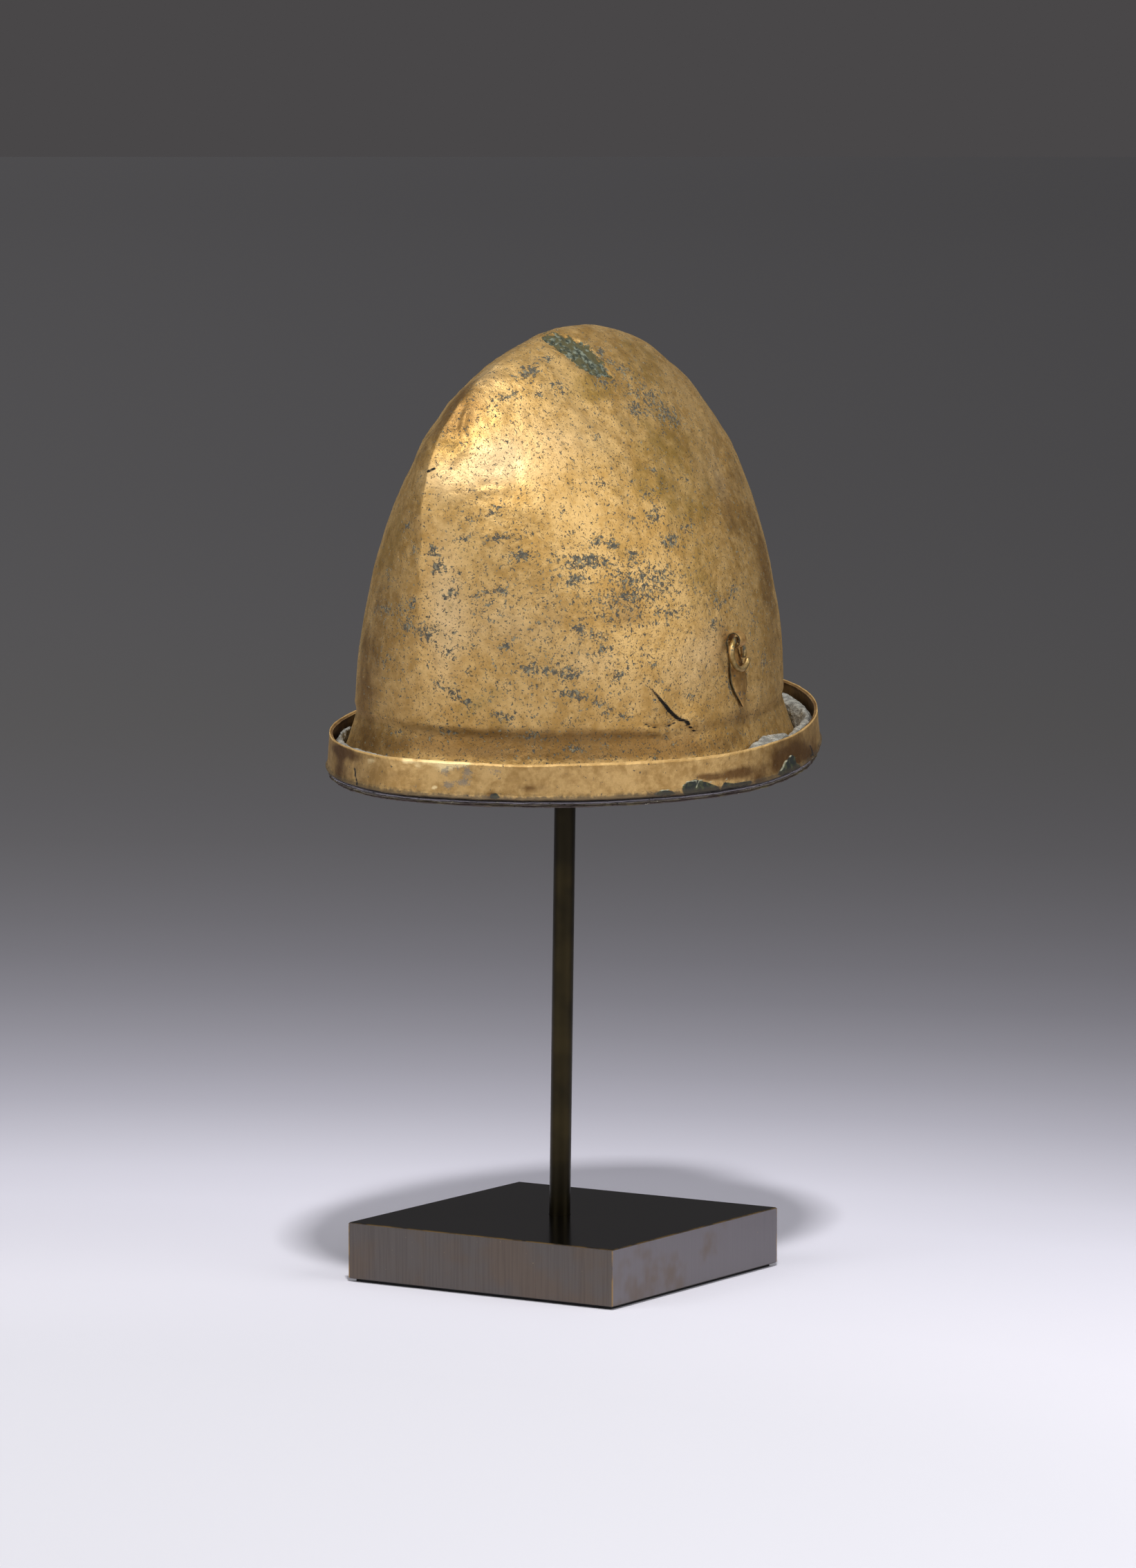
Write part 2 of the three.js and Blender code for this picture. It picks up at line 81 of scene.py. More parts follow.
def round_curve(x, y, at):
    """The same curve through the squares, so that a half size closes round where it reaches 0."""
    return np.sqrt(np.maximum(curve(x, y ** 2, at), 0))


def signed_power(x, power):
    """The size of x to a power, with the sign of x."""
    return np.sign(x) * np.abs(x) ** power


def full_turn(count):
    """Angles of count even steps round a full turn."""
    return np.arange(count) * 2 * np.pi / count


# %% [markdown]
# The helmet stands a little askew on its post. Its pieces are worked out upright, in millimetres from
# the middle of the rim's underside, and then turned into place by one matrix.

# %% The helmet's own frame
RIM_X, RIM_Z = 6.0, 236.9
PITCH, ROLL, YAW = np.radians([5.0, 2.8, -4.5])


def turn(axis, angle):
    """Rotation matrix about the X, Y or Z axis."""
    return np.array(Matrix.Rotation(angle, 3, axis))


helmet_turn = turn("X", PITCH) @ turn("Y", ROLL) @ turn("Z", YAW)
helmet_place = np.array([RIM_X, 0.0, RIM_Z])


def to_world(points):
    """Helmet millimetres to millimetres in the shared frame."""
    return points @ helmet_turn.T + helmet_place


# %% [markdown]
# The camera is the photograph's: a long lens from the front right, a little above the rim. The same
# numbers project any point to a pixel of the photograph, which is how the charts below are placed.

# %% The photograph's camera
PHOTO_WIDTH, PHOTO_HEIGHT = 1643, 2268
FOCAL_PX = 9863
AZIMUTH, ELEVATION = np.radians([32.63, 5.55])
DISTANCE = 3053
AIM_RIGHT, AIM_Z = 1.7, 221.8
SENSOR = 36.0
PX_PER_MM = FOCAL_PX / DISTANCE

look_right = np.array([np.cos(AZIMUTH), np.sin(AZIMUTH), 0])
look_back = np.array([np.sin(AZIMUTH) * np.cos(ELEVATION), -np.cos(AZIMUTH) * np.cos(ELEVATION),
                      np.sin(ELEVATION)])
look_up = np.cross(look_back, look_right)
eye_place = AIM_RIGHT * look_right + np.array([0, 0, AIM_Z]) + DISTANCE * look_back


def add_object(name, data):
    """New object that holds the data, linked into the scene."""
    made = bpy.data.objects.new(name, data)
    bpy.context.scene.collection.objects.link(made)
    return made


lens = bpy.data.cameras.new("photo_camera")
lens.sensor_width = SENSOR
lens.lens = FOCAL_PX / PHOTO_HEIGHT * SENSOR
lens.clip_end = 100
camera = add_object("photo_camera", lens)
camera.matrix_world = Matrix.LocRotScale(
    Vector(eye_place * MM), Matrix(np.stack([look_right, look_up, look_back], 1).tolist()), None)
bpy.context.scene.camera = camera


def photo_pixels(world):
    """Pixel of the photograph where each point, in millimetres, is seen."""
    ray = world - eye_place
    depth = -ray @ look_back
    return np.stack([PHOTO_WIDTH / 2 + FOCAL_PX * (ray @ look_right) / depth,
                     PHOTO_HEIGHT / 2 - FOCAL_PX * (ray @ look_up) / depth], -1)


print("lens mm:", round(lens.lens, 2), "pixels per mm:", round(PX_PER_MM, 3))

# %% [markdown]
# A new piece is a grid of points: rows along one parameter, columns round the other. One function
# joins such grids into a closed mesh, with a pole point where an end closes, and stores any number of
# values per point, such as how pitted the bronze is there, for the finish to read.


# %% Grids of points to meshes
def grid_faces(rows, columns, wrap_rows=False):
    """Quads of a grid whose columns close in a ring, and whose rows do too when wrap_rows is set."""
    last = rows if wrap_rows else rows - 1
    r, c = np.meshgrid(np.arange(last), np.arange(columns), indexing="ij")
    r_next, c_next = (r + 1) % rows, (c + 1) % columns
    corners = [r * columns + c, r * columns + c_next, r_next * columns + c_next, r_next * columns + c]
    return np.stack(corners, -1).reshape(-1, 4)


def normals_of(grid):
    """Unit normals of a grid from the cross product of its two central differences."""
    around = np.roll(grid, -1, 1) - np.roll(grid, 1, 1)
    along = np.gradient(grid, axis=0)
    normal = np.cross(around, along)
    return normal / np.maximum(np.linalg.norm(normal, axis=-1, keepdims=True), 1e-12)


def build(name, grid, body, replaced=(), poles=None, values=None, smooth=True):
    """Mesh from a (rows, columns, 3) grid in world millimetres. poles are the two end points of an
    open tube, and without them the rows close on themselves. Faces are turned outwards by the sign of
    the enclosed volume."""
    rows, columns = grid.shape[:2]
    points = grid.reshape(-1, 3)
    faces = grid_faces(rows, columns, wrap_rows=poles is None)
    triangles = np.zeros((0, 3), int)
    if poles is not None:
        c = np.arange(columns)
        c_next = (c + 1) % columns
        first, final = len(points), len(points) + 1
        triangles = np.concatenate([
            np.stack([c_next, c, np.full(columns, first)], -1),
            np.stack([c, c_next, np.full(columns, 0)], -1) + (rows - 1) * columns])
        triangles[columns:, 2] = final
        points = np.concatenate([points, poles])
    fan = np.concatenate([faces[:, [0, 1, 2]], faces[:, [0, 2, 3]], triangles])
    a, b, c3 = (points[fan[:, k]] for k in range(3))
    if np.einsum("ij,ij->i", a, np.cross(b, c3)).sum() < 0:
        faces, triangles = faces[:, ::-1], triangles[:, ::-1]
    mesh = bpy.data.meshes.new(name)
    mesh.from_pydata((points * MM).tolist(), [], faces.tolist() + triangles.tolist())
    mesh.polygons.foreach_set("use_smooth", np.full(len(mesh.polygons), smooth))
    for key, value in (values or {}).items():
        flat = value.reshape(-1)
        if poles is not None:
            flat = np.concatenate([flat, [value[0].mean(), value[-1].mean()]])
        mesh.attributes.new(key, "FLOAT", "POINT").data.foreach_set("value", flat.astype(np.float32))
    piece = add_object(name, mesh)
    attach(piece, body)
    if replaced:
        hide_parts(*replaced)
    print(name, "triangles:", len(fan))
    return piece


# %% [markdown]
# Hammered metal is never quite true. A sum of plane waves in random directions, seeded so that every
# run is the same, gives a smooth unevenness of one chosen wavelength without any loop over points.


# %% Unevenness
def unevenness(points, wavelength, seed, waves=28):
    """Sum of cosines of random directions and phases, about -1 to 1, with the given wavelength."""
    rng = np.random.default_rng(seed)
    direction = rng.normal(size=(3, waves))
    direction /= np.linalg.norm(direction, axis=0)
    pitch = 2 * np.pi / (wavelength * rng.uniform(0.75, 1.35, waves))
    phase = rng.uniform(0, 2 * np.pi, waves)
    return np.cos(points @ (direction * pitch) + phase).sum(-1) / np.sqrt(waves) / 1.4


def wave_sum(points, rows):
    """Sum of unevenness in mm over rows of (height, wavelength, seed)."""
    return sum(height * unevenness(points, wavelength, seed) for height, wavelength, seed in rows)


def line_unevenness(lengths, wavelength, seed):
    """Unevenness along a straight line, as one column."""
    return unevenness(np.pad(lengths, ((0, 0), (0, 2))), wavelength, seed)[:, None]


def smooth_step(low, high, value):
    """0 below low, 1 above high and a smooth ramp between."""
    t = np.clip((value - low) / (high - low), 0, 1)
    return t * t * (3 - 2 * t)


# %% [markdown]
# Marks are charted in pixels of the photograph. A round mark fades with the distance from its middle,
# and a line mark with the distance from a path of a few points. Both work on the projected points.


# %% Marks charted on the photograph
def chart(*rows):
    """Round marks: the middle, two half widths and the tilt of each on the photograph, then its strength."""
    return table("x y wide high tilt strength", *rows)


def spots(pixels, marks):
    """Sum of bells: strength times exp(-(dx / wide)^2 - (dy / high)^2), after turning by tilt."""
    total = np.zeros(pixels.shape[:-1])
    for x, y, wide, high, tilt, strength in zip(*marks.values()):
        dx, dy = pixels[..., 0] - x, pixels[..., 1] - y
        c, s = np.cos(np.radians(tilt)), np.sin(np.radians(tilt))
        total += strength * np.exp(-((c * dx + s * dy) / wide) ** 2 - ((c * dy - s * dx) / high) ** 2)
    return total


def path_distance(pixels, path):
    """Distance in mm from the nearest point of a path, positive on its left going along it, and
    the share of the path at that point."""
    path = np.array(path, float)
    lengths = np.linalg.norm(np.diff(path, axis=0), axis=1)
    starts = np.concatenate([[0], np.cumsum(lengths)])
    best = np.full(pixels.shape[:-1], 1e9)
    side, share = np.zeros_like(best), np.zeros_like(best)
    for a, b, length, start in zip(path[:-1], path[1:], lengths, starts):
        along = (b - a) / length
        t = np.clip((pixels - a) @ along, 0, length)
        gap = pixels - a - t[..., None] * along
        distance = np.linalg.norm(gap, axis=-1)
        closer = distance < best
        best = np.where(closer, distance, best)
        side = np.where(closer, np.sign(along[1] * gap[..., 0] - along[0] * gap[..., 1]), side)
        share = np.where(closer, (start + t) / starts[-1], share)
    return side * best / PX_PER_MM, share


def outline_depth(pixels, path):
    """Distance in mm inside a closed outline, negative outside it, by the even-odd rule."""
    path = np.array(path, float)
    distance = np.abs(path_distance(pixels, np.concatenate([path, path[:1]]))[0])
    inside = np.zeros(pixels.shape[:-1], bool)
    for a, b in zip(path, np.roll(path, -1, 0)):
        crosses = (a[1] > pixels[..., 1]) != (b[1] > pixels[..., 1])
        at = a[0] + (pixels[..., 1] - a[1]) / np.where(a[1] == b[1], 1, b[1] - a[1]) * (b[0] - a[0])
        inside ^= crosses & (pixels[..., 0] < at)
    return np.where(inside, distance, -distance)


def facing(world, normals):
    """How squarely a point faces the camera, 0 at the outline and behind it."""
    ray = eye_place - world
    return smooth_step(0.02, 0.2, (normals * ray).sum(-1) / np.linalg.norm(ray, axis=-1))


# %% [markdown]
# The crown is a high oval bowl, raised from sheet bronze about 2 mm thick. Each level is an oval whose
# front half is drawn to a ridge: x runs as the sine of the angle to a power of 2 / bow, so that bow 2 is
# round and a lower bow makes the ridge. The rows of the table are the levels from the neck to the apex.

# %% Sizes and sections of the crown
CROWN_HALF, CROWN_FRONT, CROWN_BACK = 89.0, 112.0, 103.0
CROWN_HEIGHT, NECK_HEIGHT, FOOT_HEIGHT, FOOT_FLARE, CROWN_WALL = 191.3, 22.0, 28.0, 7.0, 2.0
RIM_BEND, RIM_BEND_TOP, BAND_HEIGHT = 2.7, 50.0, 16.5
CROWN_SECTIONS = table(
    "rise half front back bow tail",
    (0.00, 1.000, 1.000, 0.984, 2.00, 2.00),
    (0.15, 0.972, 1.000, 1.000, 1.92, 1.99),
    (0.32, 0.902, 0.996, 0.995, 1.80, 1.97),
    (0.50, 0.780, 0.984, 0.974, 1.65, 1.90),
    (0.62, 0.660, 0.961, 0.931, 1.56, 1.87),
    (0.72, 0.540, 0.912, 0.853, 1.49, 1.84),
    (0.81, 0.420, 0.808, 0.737, 1.42, 1.81),
    (0.88, 0.322, 0.666, 0.599, 1.37, 1.79),
    (0.94, 0.215, 0.473, 0.440, 1.32, 1.77),
    (0.98, 0.111, 0.271, 0.260, 1.28, 1.75),
    (1.00, 0.000, 0.000, 0.000, 1.27, 1.75))
FOOT_SECTIONS = table(
    "rise flare", (0, 1), (0.18, 0.76), (0.36, 0.47), (0.55, 0.20), (0.72, -0.02), (0.86, -0.14), (1, 0))
MAIN_DENTS = table(
    "around rise reach depth",
    (37, 0.73, 0.18, 0.018), (35, 0.65, 0.10, 0.009), (329, 0.57, 0.25, 0.017),
    (317, 0.70, 0.16, 0.017), (335, 0.82, 0.11, 0.013), (110, 0.64, 0.18, 0.014),
    (70, 0.06, 0.13, 0.018))


def crown_section(height, inset):
    """Half sizes and powers of the oval at a height, inset inwards from the outer face."""
    top = CROWN_HEIGHT - inset
    share = np.clip((height - NECK_HEIGHT) / (top - NECK_HEIGHT), 0, 1)
    flare = FOOT_FLARE * curve(FOOT_SECTIONS["rise"], FOOT_SECTIONS["flare"],
                               np.clip(height / FOOT_HEIGHT, 0, 1))
    rise = CROWN_SECTIONS["rise"]
    sizes = [(size - inset) * round_curve(rise, CROWN_SECTIONS[name], share) + flare
             for size, name in ((CROWN_HALF, "half"), (CROWN_FRONT, "front"), (CROWN_BACK, "back"))]
    return (*sizes, curve(rise, CROWN_SECTIONS["bow"], share), curve(rise, CROWN_SECTIONS["tail"], share))


def smooth_crown(height, angle, inset=0.0):
    """Undented crown at heights and angles, counted from the front towards +X."""
    half, front, back, bow, tail = crown_section(height, inset)
    along, across = np.cos(angle), np.sin(angle)
    power = 2 / np.where(along > 0, bow, tail)
    x = half * signed_power(across, power)
    y = -along * np.where(along > 0, front, back)
    return np.stack(np.broadcast_arrays(x, y, height), -1)


def bent(height, angle):
    """Height in the bent rim, whose front and back lie above its flanks: the bend is
    RIM_BEND * cos(2 * angle), whole up to the band's top and gone at RIM_BEND_TOP."""
    return height + RIM_BEND * np.cos(2 * angle) * (1 - smooth_step(BAND_HEIGHT, RIM_BEND_TOP, height))


def crown_surface(height, angle, inset=0.0):
    """The bent crown with its main dents, which push the wall towards the axis by depth * exp(-d^2)."""
    points = smooth_crown(height, angle, inset)
    push = np.zeros(points.shape[:-1])
    for around, rise, reach, depth in zip(*MAIN_DENTS.values()):
        centre = smooth_crown(np.array(NECK_HEIGHT + rise * (CROWN_HEIGHT - NECK_HEIGHT)), np.radians(around))
        distance = np.linalg.norm(points - centre, axis=-1) / (reach * CROWN_HALF)
        push += depth * CROWN_HALF * np.exp(-distance ** 2)
    flat = points * [1, 1, 0]
    radius = np.maximum(np.linalg.norm(flat, axis=-1, keepdims=True), 1e-9)
    points = points - flat / radius * push[..., None]
    points[..., 2] = bent(height, angle)
    return points


# %% [markdown]
# The grid is finer where the crack is. A share runs from 0 to 1, and the inverse of its summed density
# gives stations that crowd round a chosen place.

# %% Stations of the crown's grid
CROWN_COLUMNS, FOOT_ROWS, DOME_ROWS, INNER_ROWS = 400, 18, 176, 34
DOME_CROWDING = 1.9
CRACK_AROUND, CRACK_RISE = 70 / 360, 0.035


def crowded(count, centre, width, gain):
    """Stations from 0 to 1 whose density is 1 + gain * exp(-((t - centre) / width)^2)."""
    t = np.linspace(0, 1, 4001)
    density = 1 + gain * np.exp(-((t - centre) / width) ** 2)
    total = np.concatenate([[0], np.cumsum((density[1:] + density[:-1]) / 2)])
    return np.interp(np.arange(count) / count, total / total[-1], t)


crown_angles = 2 * np.pi * crowded(CROWN_COLUMNS, CRACK_AROUND, 0.04, 3.0)
dome_shares = crowded(DOME_ROWS, CRACK_RISE, 0.05, 2.0)


def wall_heights(top, shares, foot_rows):
    """Heights from the foot to just under the apex, crowded towards the apex."""
    foot = np.arange(foot_rows) / foot_rows * FOOT_HEIGHT
    return np.concatenate([foot, FOOT_HEIGHT + (1 - (1 - shares) ** DOME_CROWDING) * (top - FOOT_HEIGHT)])


outer_heights = wall_heights(CROWN_HEIGHT, dome_shares, FOOT_ROWS)
inner_heights = wall_heights(CROWN_HEIGHT - CROWN_WALL, np.arange(INNER_ROWS) / INNER_ROWS, 4)
outer = crown_surface(outer_heights[:, None], crown_angles)
outer_normals = normals_of(outer)
outer_world = to_world(outer)
outer_pixels = photo_pixels(outer_world)
outer_seen = facing(outer_world, outer_normals @ helmet_turn.T)
print("crown grid:", outer.shape[:2], "seen:", round(float((outer_seen > 0).mean()), 2))

# %% [markdown]
# On the real crown small dents and creases surround the bright spot at the upper left, a tear runs down
# to the rim below the hanger with one lip proud of the other, and a fold lies beside it. They are charts:
# a dent has a reach and a depth in millimetres, and a crease is a path with a width and a depth.

# %% Charts of dents and creases
FINE_DENTS = chart(
    (738, 660, 14, 20, 30, 0.55), (700, 682, 26, 12, 25, 0.40), (716, 655, 16, 16, 0, -0.35),
    (690, 690, 30, 12, 20, -0.30), (758, 640, 26, 18, 0, 0.25), (668, 660, 18, 26, 25, 0.35),
    (652, 632, 14, 30, 35, -0.35), (636, 655, 10, 22, 30, 0.40), (690, 600, 22, 14, 20, 0.30),
    (664, 590, 12, 22, 45, -0.30), (722, 600, 22, 18, 0, -0.20), (640, 700, 24, 18, 0, -0.25),
    (612, 740, 10, 22, 0, -0.30), (597, 780, 9, 30, 0, 0.50), (580, 700, 12, 40, 20, 0.50),
    (1042, 630, 16, 34, -15, 0.60), (1030, 662, 12, 30, -12, 0.45), (1058, 660, 10, 40, -14, -0.35),
    (1044, 705, 12, 26, -10, 0.35), (1010, 690, 22, 30, 0, -0.25), (985, 640, 18, 22, 0, 0.25),
    (965, 1020, 26, 18, 35, -0.80), (1000, 1036, 24, 16, 20, -0.60), (1040, 1000, 20, 40, 0, 0.30),
    (1095, 1000, 16, 36, 0, -0.40), (1075, 1040, 30, 20, 0, 0.35), (610, 1090, 24, 10, 0, -0.35))
HAMMERED = chart((710, 660, 90, 80, 0, 1.0), (1050, 700, 50, 120, -12, 0.8))
FOLD = [(931, 1046), (941, 1051), (955, 1054), (968, 1051), (977, 1045)]
CREASES = [
    {"width": 0.8, "depth": 1.0, "path": FOLD},
    {"width": 1.0, "depth": -0.8, "path": [(933, 1051), (943, 1057), (957, 1060), (972, 1055)]},
    {"width": 1.6, "depth": 0.45,
     "path": [(678, 573), (664, 598), (660, 622), (668, 640), (640, 668), (626, 680)]},
    {"width": 1.4, "depth": -0.40, "path": [(686, 577), (673, 600), (667, 624), (676, 642), (648, 672)]},
    {"width": 1.2, "depth": 0.40, "path": [(686, 684), (694, 704), (712, 700), (734, 706)]},
    {"width": 1.2, "depth": -0.40, "path": [(684, 690), (694, 712), (714, 706), (736, 711)]},
    {"width": 1.6, "depth": 0.50, "path": [(1040, 610), (1044, 640), (1040, 668), (1046, 700)]},
    {"width": 1.6, "depth": 0.40, "path": [(1066, 985), (1080, 1000), (1087, 1030)]},
    {"width": 1.2, "depth": 0.30, "path": [(944, 994), (948, 1004)]},
]
CRACK = [(943, 997), (949, 1005), (955, 1013), (961, 1020), (966, 1027), (972, 1033), (978, 1038),
         (983, 1041), (988, 1042), (993, 1044), (996, 1049), (1000, 1054), (1005, 1058), (1010, 1057),
         (1015, 1060)]
SCAR = [(781, 489), (790, 481), (812, 483), (830, 488), (848, 499), (862, 511), (871, 523), (880, 537),
        (889, 549), (872, 546), (852, 542), (836, 531), (823, 521), (812, 511), (800, 499)]
SLIT = [(620, 682.5), (624, 680.5), (629.5, 677.5)]

RIDGE_HEIGHT, RIDGE_WIDTH = 0.5, 4.5
CRACK_LIP, CRACK_LIP_REACH, CRACK_DROP, CRACK_DROP_REACH, CRACK_BLEND = 1.1, 2.5, 1.0, 3.5, 0.3
CROWN_WAVES = ((0.22, 0.6, 26, 1), (0.12, 0.4, 11, 2), (0.03, 0.5, 5, 3))
HAMMER_WAVES = ((0.16, 9, 7), (0.07, 4.5, 8))
CRUMPLED_X, CRUMPLED_WIDTH = -14, 22
SCAR_DEPTH, SCAR_ROUGH = 0.45, 0.3
SURFACE_SINK = 0.05

# %% [markdown]
# All of it adds up to one relief, in millimetres along the surface's normal. The tear needs a step: the
# upper lip stands proud and the lower lip drops away, each fading over a few millimetres.


# %% Relief of the crown
def crown_relief():
    """Height to add along the normal: unevenness, ridge, dents, creases and the tear's two lips."""
    rise = (outer[..., 2] - NECK_HEIGHT) / (CROWN_HEIGHT - NECK_HEIGHT)
    upper = smooth_step(0.35, 0.7, rise)
    relief = np.zeros(rise.shape)
    for height, low, wavelength, seed in CROWN_WAVES:
        relief += height * (low + upper) * unevenness(outer, wavelength, seed)
    crumpled = np.exp(-((outer[..., 0] - CRUMPLED_X) / CRUMPLED_WIDTH) ** 2)
    crumpled *= (outer[..., 1] < 0) * smooth_step(0.5, 0.65, rise)
    relief += crumpled * (0.14 * unevenness(outer * [1, 1, 0.5], 6, 4) + 0.10 * unevenness(outer, 4, 5))
    relief += outer_seen * spots(outer_pixels, HAMMERED) * wave_sum(outer, HAMMER_WAVES)
    ridge = np.exp(-np.abs(outer[..., 0]) / RIDGE_WIDTH) * (outer[..., 1] < 0)
    ridge *= 0.75 + 0.6 * unevenness(outer, 16, 9)
    relief += RIDGE_HEIGHT * ridge * smooth_step(0.02, 0.2, rise) * smooth_step(1.0, 0.85, rise)
    relief -= outer_seen * spots(outer_pixels, FINE_DENTS)
    for crease in CREASES:
        distance, share = path_distance(outer_pixels, crease["path"])
        fade = smooth_step(0, 0.2, share) * smooth_step(1, 0.8, share)
        relief -= outer_seen * crease["depth"] * fade * np.exp(-(distance / crease["width"]) ** 2)
    distance, share = path_distance(outer_pixels, CRACK)
    fade = np.sin(np.pi * np.clip(0.03 + share, 0, 1)) ** 0.6
    upper_side = smooth_step(-CRACK_BLEND, CRACK_BLEND, distance)
    lower_side = smooth_step(CRACK_BLEND, -CRACK_BLEND, distance)
    lip = CRACK_LIP * np.exp(-np.abs(distance) / CRACK_LIP_REACH) * upper_side
    drop = CRACK_DROP * np.exp(-np.abs(distance) / CRACK_DROP_REACH) * lower_side
    relief += outer_seen * fade * (lip - drop)
    scar = outline_depth(outer_pixels, SCAR)
    relief += outer_seen * smooth_step(-0.4, 0.5, scar) * (SCAR_ROUGH * unevenness(outer, 3, 6) - SCAR_DEPTH)
    return relief - SURFACE_SINK


relief = crown_relief()
print("relief mm:", round(float(relief.min()), 2), "to", round(float(relief.max()), 2))

# %% [markdown]
# Pits lie in loose level rows, because the metal was hammered in rings. The chart below gives the clear
# clusters, and away from the camera the rows are drawn by stretched unevenness instead, so that the
# back is as pitted as the front.

# %% Charts of pits, tints, painted shade and painted light on the crown
PITS = chart(
    (800, 925, 280, 170, 0, 0.40), (722, 779, 30, 7, -3, 0.9), (627, 797, 16, 9, 30, 0.9),
    (754, 805, 20, 8, 10, 0.9), (635, 822, 14, 9, 0, 1.0), (667, 829, 7, 5, 20, 1.0),
    (840, 812, 36, 9, 2, 0.9), (648, 860, 12, 7, -35, 0.9), (690, 861, 8, 5, -20, 1.0),
    (708, 857, 9, 4, 25, 0.9), (727, 853, 10, 6, 0, 0.9), (708, 874, 6, 6, 0, 0.9),
    (596, 871, 10, 9, 0, 0.9), (557, 882, 22, 10, 0, 0.8), (590, 902, 14, 18, 30, 0.8),
    (618, 917, 12, 14, 0, 0.8), (647, 942, 7, 6, 0, 1.0), (668, 938, 12, 4, 0, 0.6),
    (730, 933, 10, 5, -25, 0.8), (765, 966, 13, 9, 0, 0.9), (806, 971, 30, 7, 4, 0.8),
    (632, 989, 10, 7, 35, 0.8), (655, 1003, 12, 6, 25, 0.9), (678, 1018, 10, 6, 30, 1.0),
    (822, 1003, 16, 5, 0, 1.0), (836, 1007, 12, 6, 20, 0.9), (725, 1036, 16, 6, 8, 0.9),
    (577, 1061, 16, 5, 3, 0.9), (648, 1060, 14, 4, 2, 0.9), (771, 1064, 14, 6, -6, 0.9),
    (826, 1081, 12, 6, 0, 0.9), (560, 955, 12, 10, 0, 0.6), (862, 782, 9, 7, 0, 0.9),
    (885, 787, 11, 8, 30, 1.0), (849, 811, 18, 8, 0, 0.8), (918, 802, 9, 9, 30, 0.9),
    (970, 782, 12, 11, 0, 0.7), (940, 838, 60, 26, 8, 0.55), (905, 870, 50, 30, 0, 0.35),
    (839, 911, 9, 7, 0, 0.9), (859, 921, 10, 7, 0, 0.9), (876, 920, 7, 6, 0, 0.9),
    (868, 943, 16, 6, -20, 0.7), (975, 886, 14, 7, 0, 0.6), (1038, 872, 12, 12, -35, 0.8),
    (1060, 858, 8, 16, 15, 0.8), (1031, 903, 7, 10, 0, 0.8), (944, 960, 7, 5, 20, 1.0),
    (832, 838, 16, 9, 0, 0.9), (893, 978, 13, 8, -20, 0.8), (826, 977, 10, 7, 0, 0.8),
    (868, 1016, 9, 6, 0, 1.0), (880, 1029, 8, 5, 0, 1.0), (902, 1036, 14, 7, 0, 0.8),
    (839, 1083, 12, 5, 0, 0.8), (876, 1096, 10, 4, 0, 0.8), (1000, 1007, 16, 8, -20, 0.5),
    (1055, 990, 6, 16, -15, 0.8), (868, 508, 8, 8, 30, 1.0), (878, 522, 12, 12, 40, 0.6),
    (870, 552, 16, 14, 30, 0.8), (902, 533, 14, 10, 20, 0.7), (935, 575, 50, 26, 30, 0.75),
    (970, 605, 22, 14, 30, 0.8), (918, 592, 12, 8, 20, 0.9), (864, 630, 7, 5, 30, 0.9),
    (851, 616, 6, 9, 0, 0.6), (944, 679, 8, 5, 30, 0.9), (870, 701, 10, 7, 20, 0.9),
    (940, 712, 12, 7, 0, 0.7), (961, 703, 9, 8, 0, 0.8), (992, 695, 10, 10, -30, 0.7),
    (946, 745, 12, 14, 30, 0.9), (912, 753, 8, 6, 0, 0.8), (994, 763, 12, 8, -20, 0.8),
    (968, 783, 12, 10, 0, 0.7), (793, 519, 9, 7, 0, 1.0), (762, 541, 15, 11, 0, 1.3),
    (775, 530, 14, 7, -20, 0.8), (734, 573, 22, 8, -8, 0.9), (808, 562, 20, 12, 20, 0.85),
    (778, 572, 7, 7, 0, 0.8), (708, 587, 8, 7, 0, 0.8), (679, 631, 6, 5, 0, 0.7),
    (735, 640, 8, 6, 0, 0.5), (712, 740, 20, 6, -22, 0.9), (679, 749, 9, 4, -22, 1.0),
    (672, 783, 10, 7, 0, 0.8), (747, 707, 8, 5, -10, 0.6), (587, 762, 8, 12, 0, 0.7),
    (598, 793, 8, 9, 0, 0.8), (560, 830, 12, 14, 0, 0.5), (820, 740, 6, 4, 0, 0.5),
    (808, 749, 5, 4, 0, 0.9), (825, 771, 8, 5, 20, 0.8), (1105, 960, 6, 14, 5, 0.7),
    (1090, 900, 8, 30, -5, 0.4))
# Brown stains, and painted shade: the long rows along the foot paint the shade of the neck groove, the tall
# rows at the left and right outline paint its dark edges, and the rows at the upper left dim part of the
# bright spot.
BROWN_AND_SHADE = chart(
    (902, 880, 34, 24, 20, 0.8), (662, 592, 38, 50, 35, 1.3), (700, 1079, 190, 20, 1, 1.5),
    (900, 1079, 110, 18, -3, 1.5), (760, 1058, 220, 8, 1, 0.4), (1075, 1040, 26, 30, 0, 0.8),
    (1118, 900, 14, 120, -4, 0.6), (522, 960, 12, 90, 3, 0.5), (1010, 1085, 60, 12, -8, 0.6),
    (627, 958, 10, 16, 0, 0.45), (757, 950, 5, 9, 0, 0.7), (784, 996, 4, 12, 5, 0.6),
    (1080, 620, 26, 60, -20, 0.55), (1060, 720, 30, 60, -12, 0.6), (1105, 800, 18, 90, -6, 0.6),
    (556, 880, 20, 60, 5, 0.6), (535, 1000, 16, 80, 2, 0.6), (650, 560, 14, 60, 42, 0.9),
    (600, 650, 14, 60, 25, 0.7), (1046, 915, 8, 20, 0, 0.7), (820, 905, 40, 14, 10, 0.3))
